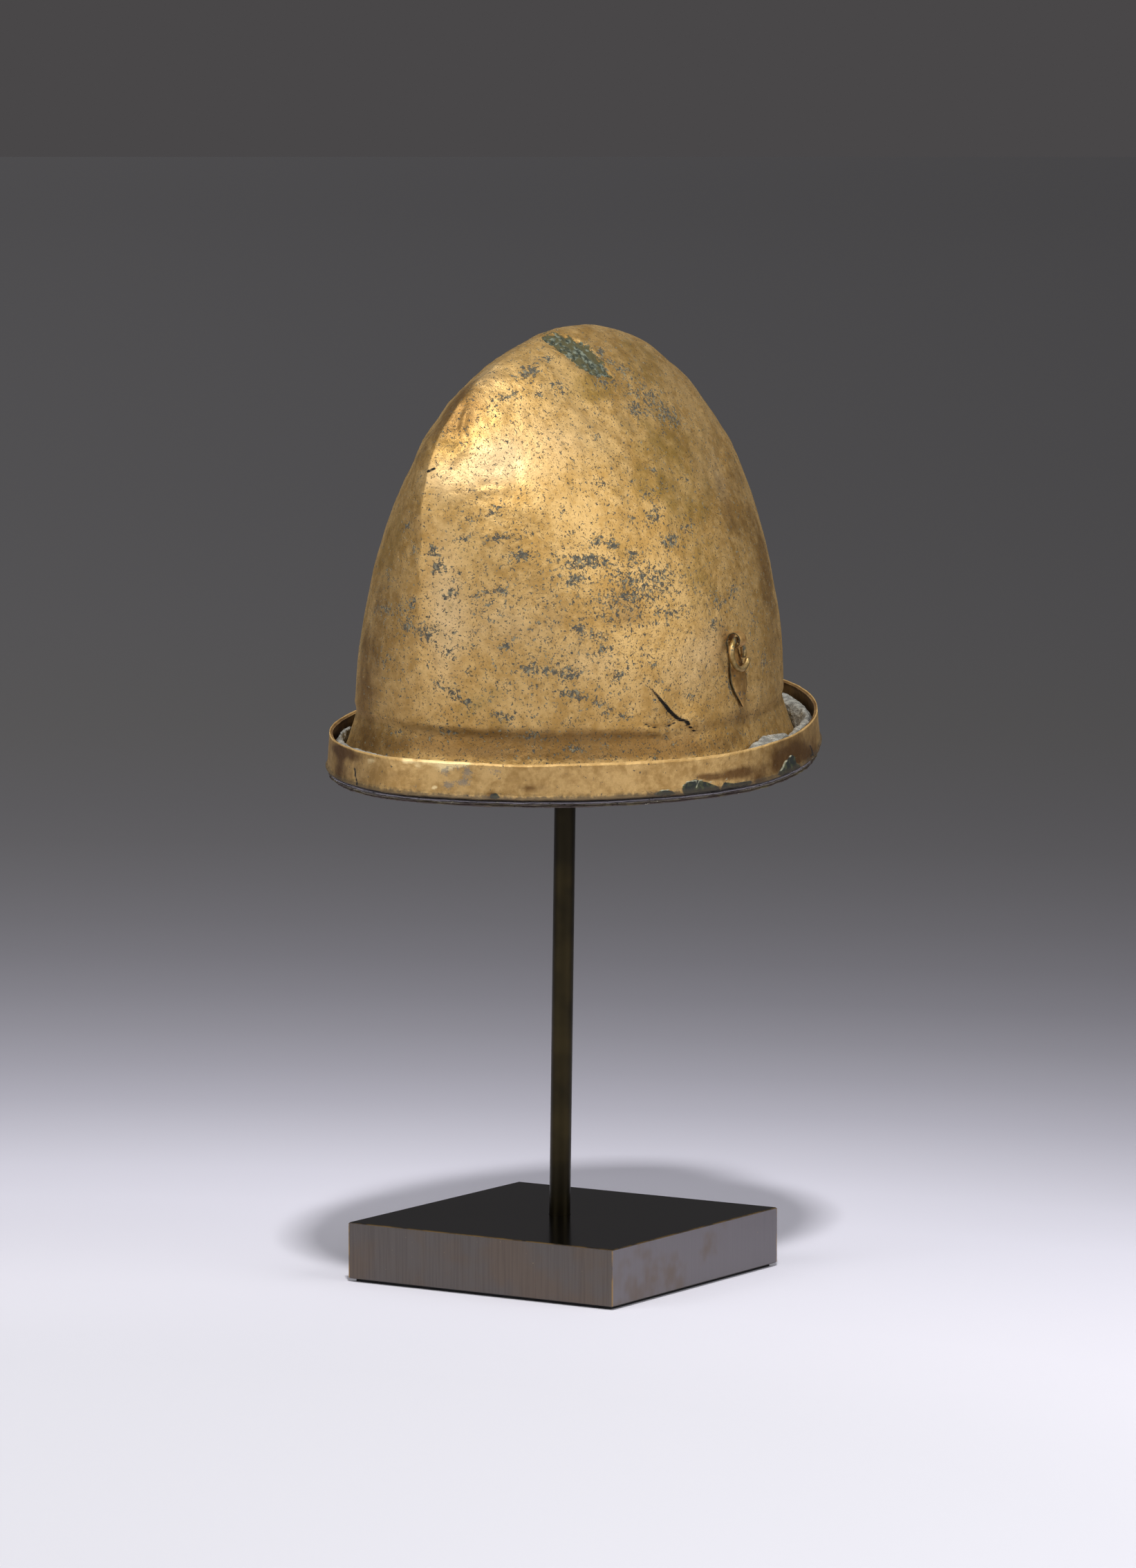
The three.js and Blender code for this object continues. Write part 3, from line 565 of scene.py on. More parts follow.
OLIVE = chart(
    (855, 560, 34, 22, 10, 0.8), (925, 520, 50, 26, 35, 0.7), (965, 640, 50, 34, 20, 0.7),
    (940, 700, 40, 40, 0, 0.5), (1000, 740, 40, 50, 0, 0.7), (720, 610, 22, 14, 0, 0.4),
    (660, 640, 26, 30, 20, 0.5), (560, 780, 20, 60, 10, 0.6), (640, 900, 22, 60, 0, 0.35),
    (1010, 830, 36, 40, 0, 0.5), (680, 1010, 60, 30, 0, 0.35))
# These marks are painted light: they lighten the bronze where light falls on it, round the bright spot at the
# upper left, on the lit face right of the ridge and on other lit places.
PAINTED_LIGHT = chart(
    (642, 880, 30, 130, 0, 0.5), (860, 960, 60, 40, 0, 0.3), (720, 665, 40, 30, 10, 0.8),
    (660, 690, 60, 30, 0, 0.5), (730, 900, 90, 60, 0, 0.35), (800, 640, 80, 60, 0, 0.35),
    (1000, 960, 40, 50, 0, 0.35), (690, 540, 40, 24, -20, 0.5), (1040, 690, 12, 60, -14, 0.45),
    (1030, 930, 30, 40, 0, 0.3), (700, 1088, 60, 8, 0, 0.35))


def crown_values():
    """Per point: pits, olive tints, brown tints with painted shade, painted light as pale, and the distances
    from the scar and from the crack and fold.
    """
    level = outer * [1, 1, 3.2]
    rows = smooth_step(0.25, 1.1, unevenness(level, 60, 11) + 0.6 * unevenness(level, 22, 12))
    unseen = 1 - outer_seen
    broad_brown = 0.5 * smooth_step(0.3, 1.2, unevenness(outer, 50, 13)) * (0.3 + 0.7 * unseen)
    broad_olive = 0.6 * smooth_step(0.2, 1.2, unevenness(outer, 70, 14)) * (0.3 + 0.7 * unseen)
    return {
        "pits": outer_seen * spots(outer_pixels, PITS) + unseen * (0.25 + 0.45 * rows),
        # brown: real stains, with the painted shade charted above.
        "brown": outer_seen * spots(outer_pixels, BROWN_AND_SHADE) + broad_brown,
        "olive": outer_seen * spots(outer_pixels, OLIVE) + broad_olive,
        # pale: painted light, from the charted lit places.
        "pale": outer_seen * spots(outer_pixels, PAINTED_LIGHT),
        "scar": np.where(outer_seen > 0, outline_depth(outer_pixels, SCAR), -9),
        # crack: the open tear and slit, and the fold, whose dark line is painted shade.
        "crack": np.where(outer_seen > 0, crack_and_fold_shade_distance(outer_pixels), 9),
    }


def crack_and_fold_shade_distance(pixels):
    """Distance in mm from the nearest of the tear, the small slit and the fold, less where the tear is open
    widest. The dark line on the fold is painted shade in its crease.
    """
    tear, share = path_distance(pixels, CRACK)
    slit = path_distance(pixels, SLIT)[0]
    fold = path_distance(pixels, FOLD)[0]
    tear_edge = np.abs(tear) + 0.22 * (2 * share - 1.1) ** 2 - 0.12
    return np.min([tear_edge, np.abs(slit) - 0.1, np.abs(fold) + 0.08], axis=0)


# %% Crown
INNER_VALUE = {"pits": 0.3, "brown": 0.6, "olive": 0.3, "pale": 0.0, "scar": -9.0, "crack": 9.0,
               "inside": 1.0}
inner = crown_surface(inner_heights[:, None], crown_angles, CROWN_WALL)
crown_grid = np.concatenate([inner[::-1], outer + outer_normals * relief[..., None]])
crown_marks = {key: np.concatenate([np.full(inner.shape[:2], INNER_VALUE[key]), value])
               for key, value in {**crown_values(), "inside": np.zeros(outer.shape[:2])}.items()}
apexes = np.array([[0, 0, CROWN_HEIGHT - CROWN_WALL], [0, 0, CROWN_HEIGHT - SURFACE_SINK]], float)
crown = build("crown_shell", to_world(crown_grid), STAND, ["crown"],
              to_world(apexes), crown_marks)

# %% [markdown]
# The rim band is an upright strip of bronze bent round the foot, nearer a rounded rectangle than a pure
# oval, so its outline is an oval with a power a little under 2. It splays outwards towards its lower
# edge. Its profile is a rounded bar, carried round the outline.

# %% Rim band
FILL_SIDE, FILL_FRONT, FILL_BACK = 4.1, 13.6, 12.3
BAND_WALL, BAND_SPLAY, BAND_ROUND, BAND_BOW_POWER, BAND_TAIL_POWER = 2.5, 1.3, 0.8, 1.74, 1.93
BAND_COLUMNS, RIM_RADIUS = 840, 105
TOP_WAVES = ((0.22, 42, 21), (0.10, 9, 22))
FOOT_WAVES = ((0.12, 34, 23), (0.10, 6, 24))


def band_outline(height, angle, inset):
    """The band's outline at an inset from the top of its outer face: each half size times the cosine
    or sine of the angle to a power of 2 / bow."""
    beyond = FOOT_FLARE + BAND_WALL - inset
    along, across = np.cos(angle), np.sin(angle)
    power = 2 / np.where(along > 0, BAND_BOW_POWER, BAND_TAIL_POWER)
    x = (CROWN_HALF + FILL_SIDE + beyond) * signed_power(across, power)
    reach = np.where(along > 0, CROWN_FRONT + FILL_FRONT, CROWN_BACK + FILL_BACK) + beyond
    y = -reach * signed_power(along, power)
    return np.stack(np.broadcast_arrays(x, y, bent(height, angle)), -1)


def splay(height):
    """How far the band leans out at a height, in mm: none at its top."""
    return BAND_SPLAY * (1 - height / BAND_HEIGHT)


def rim_circle(angle):
    """Circle of about the rim's size, in mm, along which its unevenness is read."""
    return np.stack([np.cos(angle), np.sin(angle), np.zeros_like(angle)], -1) * RIM_RADIUS


def rounded_bar(wide, high, radius, arc_points, side_points):
    """Profile of a bar with rounded edges as (inset, height) pairs, going round from the outer foot."""
    corners = [(radius, radius, 180), (radius, high - radius, 90), (wide - radius, high - radius, 0),
               (wide - radius, radius, -90)]
    arcs = []
    for x, y, start in corners:
        a = np.radians(start - np.linspace(-90, 0, arc_points) - 90)
        arcs.append(np.stack([x + radius * np.cos(a), y + radius * np.sin(a)], -1))
    profile = []
    for arc, following in zip(arcs, arcs[1:] + arcs[:1]):
        profile.append(arc)
        t = np.linspace(0, 1, side_points + 2)[1:-1, None]
        profile.append(arc[-1] + t * (following[0] - arc[-1]))
    return np.concatenate(profile)


BAND_PROFILE = rounded_bar(BAND_WALL, BAND_HEIGHT, BAND_ROUND, 5, 9)
print("band profile points:", len(BAND_PROFILE))

# %% [markdown]
# The band carries the strongest marks: rubbed bright patches along its top edge at the left, a ring of
# grey specks, a crack, and green black stains with pale rims near the right. They are charted too.

# %% Charts of the band
WORN = chart(
    (588, 1099, 9, 5, 0, 1.0), (621, 1099, 15, 6, 0, 1.0), (645, 1103, 10, 8, 0, 1.3),
    (668, 1104, 16, 6, 0, 1.0), (604, 1108, 12, 5, 30, 0.5), (536, 1100, 8, 5, 0, 0.7),
    (628, 1139, 5, 3, 0, 0.9), (700, 1105, 12, 3, 0, 0.6), (640, 1113, 20, 6, 0, 0.4))
BAND_GREY = chart(
    (643, 1116, 8, 8, 0, 0.9), (659, 1110, 12, 6, 0, 0.6), (676, 1117, 8, 9, 0, 1.0),
    (670, 1132, 12, 6, 0, 1.0), (648, 1136, 10, 7, 0, 1.0), (715, 1117, 14, 7, 0, 0.7),
    (746, 1128, 9, 4, 0, 0.5), (598, 1138, 14, 7, 0, 0.5), (768, 1110, 14, 5, 0, 0.4),
    (815, 1116, 10, 10, 0, 0.35), (1148, 1136, 10, 5, 0, 0.3))
BAND_BROWN = chart(
    (498, 1088, 26, 8, 22, 1.0), (492, 1112, 8, 26, 0, 0.8), (524, 1128, 20, 14, 0, 0.3),
    (766, 1141, 22, 7, 0, 0.7), (1068, 1118, 30, 9, -8, 1.0), (1100, 1128, 16, 8, -10, 0.6),
    (1140, 1096, 26, 16, -20, 0.8), (1020, 1124, 30, 5, 0, 0.7), (712, 1151, 12, 6, 0, 0.8),
    (930, 1118, 18, 10, 0, 0.3), (1176, 1100, 10, 18, 0, 0.6), (960, 1150, 30, 8, 0, 0.7),
    (575, 1120, 30, 8, 0, 0.25), (1150, 1085, 50, 30, -20, 0.45))
STAINS = [
    [(985, 1139), (993, 1131), (1006, 1127), (1022, 1131), (1040, 1138), (1044, 1146), (1032, 1150),
     (1008, 1152), (990, 1151)],
    [(946, 1149), (952, 1145), (962, 1142), (972, 1144), (978, 1148), (968, 1151), (954, 1152)],
    [(1042, 1142), (1047, 1131), (1060, 1133), (1078, 1130), (1090, 1128), (1086, 1135), (1068, 1142),
     (1050, 1145)],
    [(1123, 1120), (1130, 1110), (1136, 1101), (1145, 1091), (1150, 1094), (1152, 1103), (1160, 1110),
     (1150, 1117), (1134, 1124)],
    [(708, 1154), (710, 1148), (718, 1147), (724, 1153), (716, 1157)],
]
PALE_RIMS = [
    [(987, 1138), (994, 1131), (1000, 1131), (1008, 1127), (1017, 1129), (1031, 1132)],
    [(1007, 1128), (1009, 1135), (1007, 1140)],
    [(949, 1148), (953, 1145), (962, 1142), (973, 1144)],
    [(1127, 1117), (1132, 1112), (1135, 1103), (1144, 1093)],
    [(1050, 1128), (1053, 1124)],
]
BAND_CRACK = [(510.5, 1109), (513, 1116), (512, 1121), (515, 1130), (516, 1141)]
BAND_SLIT = [(1172.5, 1080), (1175, 1087), (1176, 1095)]
BAND_GROOVES = ((BAND_CRACK, 0.5, 0.5), (BAND_SLIT, 1.2, 0.6))
SLIT_AROUND, SLIT_LIFT, SLIT_EDGE = np.radians(122.0), 1.1, 0.35


def nearest_path(pixels, paths):
    """Distance in mm from the nearest of several paths."""
    return np.min([np.abs(path_distance(pixels, path)[0]) for path in paths], axis=0)


# %% Band surface
def band_piece():
    """The profile carried round the outline, with uneven edges, a lifted foot by the slit and dents."""
    angle = full_turn(BAND_COLUMNS)
    inset, height = BAND_PROFILE[:, :1], BAND_PROFILE[:, 1:]
    round_path = rim_circle(angle)
    top_wave = wave_sum(round_path, TOP_WAVES) - 0.15
    foot_wave = wave_sum(round_path, FOOT_WAVES) + 0.12
    past_slit = smooth_step(SLIT_AROUND - 0.01, SLIT_AROUND + 0.02, angle)
    foot_wave += SLIT_LIFT * past_slit * smooth_step(SLIT_AROUND + 0.5, SLIT_AROUND + 0.2, angle)
    share = height / BAND_HEIGHT
    z = height + top_wave * share + foot_wave * (1 - share)
    grid = band_outline(z, angle, inset - splay(height) + 0.12)
    normals = normals_of(grid)
    outwards = (normals * grid * [1, 1, 0]).sum(-1)
    normals *= np.sign(np.median(outwards[inset[:, 0] < BAND_ROUND / 2]))
    world = to_world(grid)
    pixels = photo_pixels(world)
    outer_side = inset < BAND_WALL / 2
    seen = facing(world, normals @ helmet_turn.T) * outer_side
    relief = -0.05 - 0.10 * (0.5 + 0.5 * unevenness(grid, 18, 25)) + 0.05 * unevenness(grid, 5, 26)
    for path, depth, width in BAND_GROOVES:
        relief -= depth * seen * np.exp(-(path_distance(pixels, path)[0] / width) ** 2)
    stain = np.max([outline_depth(pixels, outline) for outline in STAINS], axis=0)
    relief += seen * 0.12 * smooth_step(-0.3, 0.5, stain) * (1 + unevenness(grid, 3, 27))
    unseen_grey = (1 - seen) * 0.7 * smooth_step(0.5, 1.3, unevenness(grid, 16, 28))
    unseen_brown = (1 - seen) * 0.8 * smooth_step(0.2, 1.2, unevenness(grid, 26, 29))
    slit = nearest_path(pixels, [BAND_SLIT]) - SLIT_EDGE
    marks = {
        "worn": seen * spots(pixels, WORN),
        "grey": seen * spots(pixels, BAND_GREY) + unseen_grey,
        # brown: stains, and painted shade on the band's inner face, which faces into the channel.
        "brown": seen * spots(pixels, BAND_BROWN) + unseen_brown + 0.6 * (1 - outer_side),
        "stain": np.where(seen > 0, stain, -2.2 + 3.0 * (1 - share) ** 2 * unevenness(grid, 20, 30)),
        "pale_rim": np.where(seen > 0, nearest_path(pixels, PALE_RIMS), 9),
        "crack": np.where(seen > 0, np.minimum(nearest_path(pixels, [BAND_CRACK]), slit), 9),
        "top": share + 0 * angle,
    }
    return build("rim_band_strip", to_world(grid + normals * relief[..., None]), STAND,
                 ["rim_band"], values=marks)


band = band_piece()

# %% [markdown]
# The channel between crown and band is packed with a light grey filling, which shows at both ends. Its
# section is a rounded block: across and rise follow the cosine and sine of one angle to a low power. It
# is lumpy, and it has shrunk away from the crown at the right.

# %% Grey filling
FILL_HEIGHT, FILL_CLEARANCE = 13.0, 0.3
FILL_GAP, FILL_SHRUNK_GAP, FILL_OUTER_GAP = 2.0, 5.0, 1.6
FILL_SHRUNK_AROUND, FILL_SHRUNK_WIDTH = np.radians(136), np.radians(11)
FILL_LUMP, FILL_LUMP_AROUND, FILL_LUMP_WIDTH = 4.6, np.radians(100), np.radians(10)
FILL_COLUMNS, FILL_ROWS = 720, 64
FILL_ACROSS_POWER, FILL_RISE_POWER = 0.55, 0.75
FILL_WAVES = ((0.45, 9, 33), (0.28, 4, 34), (0.12, 2, 35))


def fill_piece():
    """Rounded block between the crown's foot and the band, with lumps of three sizes."""
    angle = full_turn(FILL_COLUMNS)
    turn_round = full_turn(FILL_ROWS)[:, None]
    across = 0.5 + 0.5 * signed_power(np.cos(turn_round), FILL_ACROSS_POWER)
    rise = 0.5 + 0.5 * signed_power(np.sin(turn_round), FILL_RISE_POWER)
    round_path = rim_circle(angle)
    lump = np.exp(-((angle - FILL_LUMP_AROUND) / FILL_LUMP_WIDTH) ** 2)
    height = rise * (FILL_HEIGHT + FILL_LUMP * lump + 0.6 * unevenness(round_path, 30, 31) - 0.4)
    shrunk = np.exp(-((angle - FILL_SHRUNK_AROUND) / FILL_SHRUNK_WIDTH) ** 2)
    gap = (FILL_GAP + FILL_SHRUNK_GAP * shrunk + 0.7 * unevenness(round_path, 12, 32)) * (1 - lump)
    gap = FILL_CLEARANCE + gap * rise
    from_crown = crown_surface(height, angle, -np.maximum(gap, FILL_CLEARANCE))
    at_band = np.minimum(height, BAND_HEIGHT - 1.2)
    inset = BAND_WALL + FILL_CLEARANCE + FILL_OUTER_GAP * rise - splay(at_band)
    to_band = band_outline(at_band, angle, inset)
    grid = from_crown + across[..., None] * (to_band - from_crown)
    normals = normals_of(grid)
    if (normals[FILL_ROWS // 4, :, 2]).mean() < 0:
        normals = -normals
    relief = np.minimum(wave_sum(grid, FILL_WAVES), 0.5) * smooth_step(0.3, 0.8, rise) - 0.1
    return build("rim_fill_lumps", to_world(grid + normals * relief[..., None]), STAND,
                 ["rim_fill"])


fill = fill_piece()

# %% [markdown]
# Under the band lies a thin ring of corroded sheet. It has split into layers like slate, so its edge is
# three thin leaves with hollows between them, each leaf with its own ragged outline.

# %% Layered ring
RING_TOP, RING_BOTTOM, RING_INSET, RING_LIP = -0.3, -2.9, 1.2, 1.0
LEAVES, LEAF_POINTS, UNDER_COLUMNS = 3, 7, 900


def under_ring_piece():
    """Edge profile of leaves: within a leaf the outline swells as a half circle, and each leaf's
    reach wanders by its own seeded unevenness."""
    angle = full_turn(UNDER_COLUMNS)
    round_path = rim_circle(angle)
    rows, marks = [], []
    pitch = (RING_TOP - RING_BOTTOM) / LEAVES
    for leaf in range(LEAVES):
        ragged = wave_sum(round_path, ((0.5, 22, 41 + leaf), (0.35, 4, 51 + leaf)))
        bend = 0.12 * unevenness(round_path, 14, 61 + leaf)
        for t in np.linspace(0.04, 0.96, LEAF_POINTS):
            height = RING_BOTTOM + (leaf + t) * pitch + bend * (0 < leaf + t < LEAVES)
            reach = RING_INSET + 0.8 - np.minimum(ragged, 0.8) + 0.9 * (1 - np.sqrt(np.sin(np.pi * t)))
            height = np.clip(height, RING_BOTTOM + 0.02, RING_TOP - 0.02)
            rows.append(band_outline(height, angle, np.maximum(reach, RING_INSET) - BAND_SPLAY))
            marks.append(np.full(UNDER_COLUMNS, (leaf + t) / LEAVES))
    for height in (RING_TOP, RING_BOTTOM):
        row = crown_surface(np.zeros(1), angle, CROWN_WALL + RING_LIP)
        row[:, 2] = bent(height, angle)
        rows.append(row)
        marks.append(np.full(UNDER_COLUMNS, 0.5))
    grid = np.stack(rows)
    return build("under_ring_leaves", to_world(grid), STAND, ["under_ring"],
                 values={"layer": np.stack(marks)})


under_ring = under_ring_piece()

# %% [markdown]
# One hanger survives. It is a leaf of sheet bronze laid on the flank, whose top is rolled outwards into
# an eye. The strip's middle line runs up the flank and then round the eye, and its section is a flat
# bar whose width follows the leaf's outline.

# %% Places on the flank
HANGER_Y, EYE_HEIGHT, EYE_HOLE, EYE_WALL, EYE_WIDTH = 0.4, 59.0, 5.6, 0.9, 5.2
LEAF_LENGTH, LEAF_WIDTH, LEAF_LEAN, LEAF_THICKNESS, LEAF_SWELL, CLEARANCE = 30.0, 12.0, 3.7, 1.0, 0.5, 0.3
LEAF_SECTIONS = table(
    "along half", (0, 0.54), (0.25, 0.66), (0.45, 0.92), (0.6, 1.0), (0.75, 0.78), (0.9, 0.34), (1, 0.06))


def flank(height, y):
    """Point of the +X flank at a height and a distance along Y, from the oval's equation."""
    half, front, back, bow, tail = crown_section(height, 0.0)
    share = y / np.where(y < 0, front, back)
    x = half * (1 - share ** 2) ** (1 / np.where(y < 0, bow, tail))
    return np.stack(np.broadcast_arrays(x, y, height), -1)


def unit(vector):
    """The vector at a length of 1."""
    return vector / np.linalg.norm(vector)


def end_points(grid):
    """Middles of a grid's first and last rows."""
    return np.stack([grid[0].mean(0), grid[-1].mean(0)])


leaf_middle = EYE_HEIGHT - LEAF_LENGTH / 2
flank_up = unit(flank(EYE_HEIGHT, HANGER_Y) - flank(EYE_HEIGHT - LEAF_LENGTH, HANGER_Y))
leaf_back, leaf_front = (flank(leaf_middle, HANGER_Y + side * LEAF_WIDTH / 2) for side in (1, -1))
flank_back = unit(leaf_back - leaf_front)
flank_out = unit(np.cross(flank_back, flank_up))
flank_side = unit(np.cross(flank_out, flank_up))
eye_radius = EYE_HOLE / 2 + EYE_WALL
eye_centre = flank(EYE_HEIGHT, HANGER_Y) + flank_out * (CLEARANCE + eye_radius)
print("eye in the shared frame, mm:", np.round(to_world(eye_centre), 2))

# %% Hanger
EYE_SWEEP = np.radians(318)
LEAF_ROWS, EYE_ROWS, STRIP_POINTS = 70, 60, 40
SIDE_POWER, THICK_POWER = 0.35, 0.6


def hanger_piece():
    """Flat bar section carried up the leaf and round the eye. The section is a rounded rectangle:
    side and thickness follow the cosine and sine of one angle to low powers."""
    section = full_turn(STRIP_POINTS)
    side = signed_power(np.cos(section), SIDE_POWER)
    thick = 0.5 + 0.5 * signed_power(np.sin(section), THICK_POWER)
    along = np.linspace(0.998, 0, LEAF_ROWS)[:, None]
    half = curve(LEAF_SECTIONS["along"], LEAF_SECTIONS["half"], along) * LEAF_WIDTH / 2
    swell = LEAF_SWELL * (half * 2 / LEAF_WIDTH) * along * (1 - side ** 2)
    ragged = 0.12 * line_unevenness(along * LEAF_LENGTH, 4, 71)
    off = CLEARANCE + thick * (LEAF_THICKNESS - 0.1 * along + swell)
    across = HANGER_Y + LEAF_LEAN * along + side * (half + ragged)
    leaf = flank(EYE_HEIGHT - along * LEAF_LENGTH, across) + off[..., None] * flank_out
    angle = np.linspace(0, EYE_SWEEP, EYE_ROWS)[1:, None]
    radius = EYE_HOLE / 2 + (1 - thick) * EYE_WALL * (1 - 0.35 * (angle / EYE_SWEEP) ** 3)
    narrow = EYE_WIDTH / 2 * (1 - 0.12 * angle / EYE_SWEEP)
    out = -np.cos(angle) * radius
    up = np.sin(angle) * radius
    eye = (eye_centre + out[..., None] * flank_out + up[..., None] * flank_up
           + (side * narrow)[..., None] * flank_side)
    grid = np.concatenate([leaf, eye])
    marks = {"leaf_side": np.concatenate([side + 0 * along, side + 0 * angle]),
             "leaf_along": np.concatenate([along + 0 * side, 0 * angle + 0 * side])}
    return build("hanger_leaf", to_world(grid), STAND, ["hanger_plate"],
                 to_world(end_points(grid)), marks)


hanger = hanger_piece()

# %% [markdown]
# The ring is one turn of thick wire whose free end passes outside the other. Its middle line is a flat
# spiral centred in the eye, and a round section is carried along it. The outer end is worn to a blunt
# tip and the inner one is cut off flat.

# %% Wire ring
RING_OUTER, WIRE_DIAMETER, RING_OFFSET, RING_FREE_END, RING_SWEEP = 14.3, 2.6, 0.9, -23.0, 367.0
RING_TURN = np.radians(7.0)
WIRE_ROWS, WIRE_POINTS = 220, 32
OUTER_TIP, INNER_TIP = 0.9, 0.35
ring_radius = (RING_OUTER - WIRE_DIAMETER) / 2
ring_pitch = WIRE_DIAMETER + CLEARANCE
ring_top_share = (RING_FREE_END + 270) / RING_SWEEP
ring_inner = ring_radius - WIRE_DIAMETER / 2 - ring_pitch / 8
ring_drop = EYE_HOLE / 2 - CLEARANCE - (ring_radius - np.sqrt(ring_inner ** 2 - (EYE_WIDTH / 2) ** 2))
ring_foot = ring_drop + 2 * ring_radius + ring_pitch * ring_top_share
ring_foot_out = (2 * CLEARANCE + LEAF_THICKNESS + LEAF_SWELL + WIRE_DIAMETER / 2
                 + ring_radius * np.sin(RING_TURN))
ring_lean = np.arctan2(ring_foot_out - CLEARANCE - eye_radius, ring_foot)


def blunt_end(lengths, reach):
    """Share of the wire's radius at lengths from an end: a quarter circle over the reach."""
    return np.sqrt(np.clip(1 - ((reach - lengths) / reach).clip(0, 1) ** 2, 0.02, 1))


def ring_piece():
    """Flat spiral of one turn, radius + pitch * (top share - share), that carries a circle whose radius
    thins a little in places along the wire and shrinks at the two tips."""
    share = np.linspace(0, 1, WIRE_ROWS)[:, None]
    angle = np.radians(RING_FREE_END - share * RING_SWEEP)
    section = full_turn(WIRE_POINTS)
    lengths = share * np.radians(RING_SWEEP) * ring_radius
    total = lengths[-1, 0]
    tip = blunt_end(lengths, OUTER_TIP) * blunt_end(total - lengths, INNER_TIP) ** 0.5
    wander = 1 + 0.03 * line_unevenness(lengths, 9, 81)
    radius = WIRE_DIAMETER / 2 * tip * np.minimum(wander, 1.0)
    radial = ring_radius + ring_pitch * (ring_top_share - share) + radius * np.cos(section)
    out = RING_OFFSET * (ring_top_share - share) + radius * np.sin(section)
    side = -np.cos(angle) * radial
    up = np.sin(angle) * radial - ring_drop - ring_radius
    turned_out = out * np.cos(RING_TURN) + side * np.sin(RING_TURN)
    turned_side = side * np.cos(RING_TURN) - out * np.sin(RING_TURN)
    up_axis = unit(flank_up * np.cos(ring_lean) + np.cross(flank_side, flank_up) * np.sin(ring_lean))
    out_axis = unit(np.cross(up_axis, flank_side))
    grid = eye_centre + (turned_out[..., None] * out_axis + up[..., None] * up_axis
                         + turned_side[..., None] * flank_side)
    marks = {"wire_along": share + 0 * section}
    return build("ring_wire", to_world(grid), "ring", ["wire_ring"],
                 to_world(end_points(grid)), marks)


ring = ring_piece()

# %% [markdown]
# The post is one surface from its foot in the plate to the seat under the crown. Up to the seat its rows
# are circles. The seat's rows follow the inside of the crown, cut off at the seat's radius.

# %% Post
POST_FOOT_X, POST_LEAN, POST_DIAMETER, POST_SOCKET = -2.4, np.radians(0.87), 9.525, 12.0
PLATE_WIDTH, PLATE_TOP, SEAT_DIAMETER, SEAT_DEPTH = 139.7, 26.9, 52.0, 12.0
POST_COLUMNS = 96


def post_piece():
    """Circles foot + length * axis + radius * (sin a, -cos a), then the seat's rows."""
    angle = full_turn(POST_COLUMNS)
    circle = np.stack([np.sin(angle), -np.cos(angle), 0 * angle], -1) * POST_DIAMETER / 2
    axis = turn("Y", POST_LEAN) @ [0, 0, 1]
    foot = np.array([POST_FOOT_X, 0, PLATE_TOP])
    inset = CROWN_WALL + CLEARANCE
    top = CROWN_HEIGHT - inset
    seat = to_world(crown_surface((top - SEAT_DEPTH * np.linspace(0.95, 0.01, 24))[:, None], angle, inset))
    middle = foot + (seat[..., 2:] - PLATE_TOP) * axis
    reach = np.linalg.norm(seat - middle, axis=-1, keepdims=True)
    seat = middle + (seat - middle) * np.minimum(1, (SEAT_DIAMETER / 2 - 0.1) / reach)
    shaft_top = seat[0, :, 2].mean() - PLATE_TOP
    lengths = np.linspace(CLEARANCE - POST_SOCKET, shaft_top, 60)
    shaft = [foot + length * axis + circle for length in lengths]
    under = [shaft[-1] + (seat[0] - shaft[-1]) * share for share in (0.03, 0.35, 0.7, 0.97)]
    poles = np.stack([shaft[0].mean(0), to_world(np.array([0, 0, top]))])
    return build("post_rod", np.concatenate([shaft, under, seat]), STAND, ["post"], poles)


post = post_piece()

# %% [markdown]
# A dressed piece should keep within the CAD node that it stands for. The two rows printed for each piece
# are how far it passes its node, in millimetres, and a negative number is inside.

# %% Pieces against their nodes
for piece, node in ((crown, "crown"), (band, "rim_band"), (fill, "rim_fill"), (under_ring, "under_ring"),
                    (hanger, "hanger_plate"), (ring, "wire_ring"), (post, "post")):
    co = np.empty(len(piece.data.vertices) * 3)
    piece.data.vertices.foreach_get("co", co)
    co = co.reshape(-1, 3) / MM
    low, high = (np.array(corner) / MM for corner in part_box(node))
    print(piece.name, "past its CAD node, mm:", np.round(low - co.min(0), 2), np.round(co.max(0) - high, 2))

# %% [markdown]
# A finish is a shader, and a shader is maths on numbers at each point of the surface. One small class
# wraps a node's output, so that Python's own signs make the Math nodes, and one method makes any other.


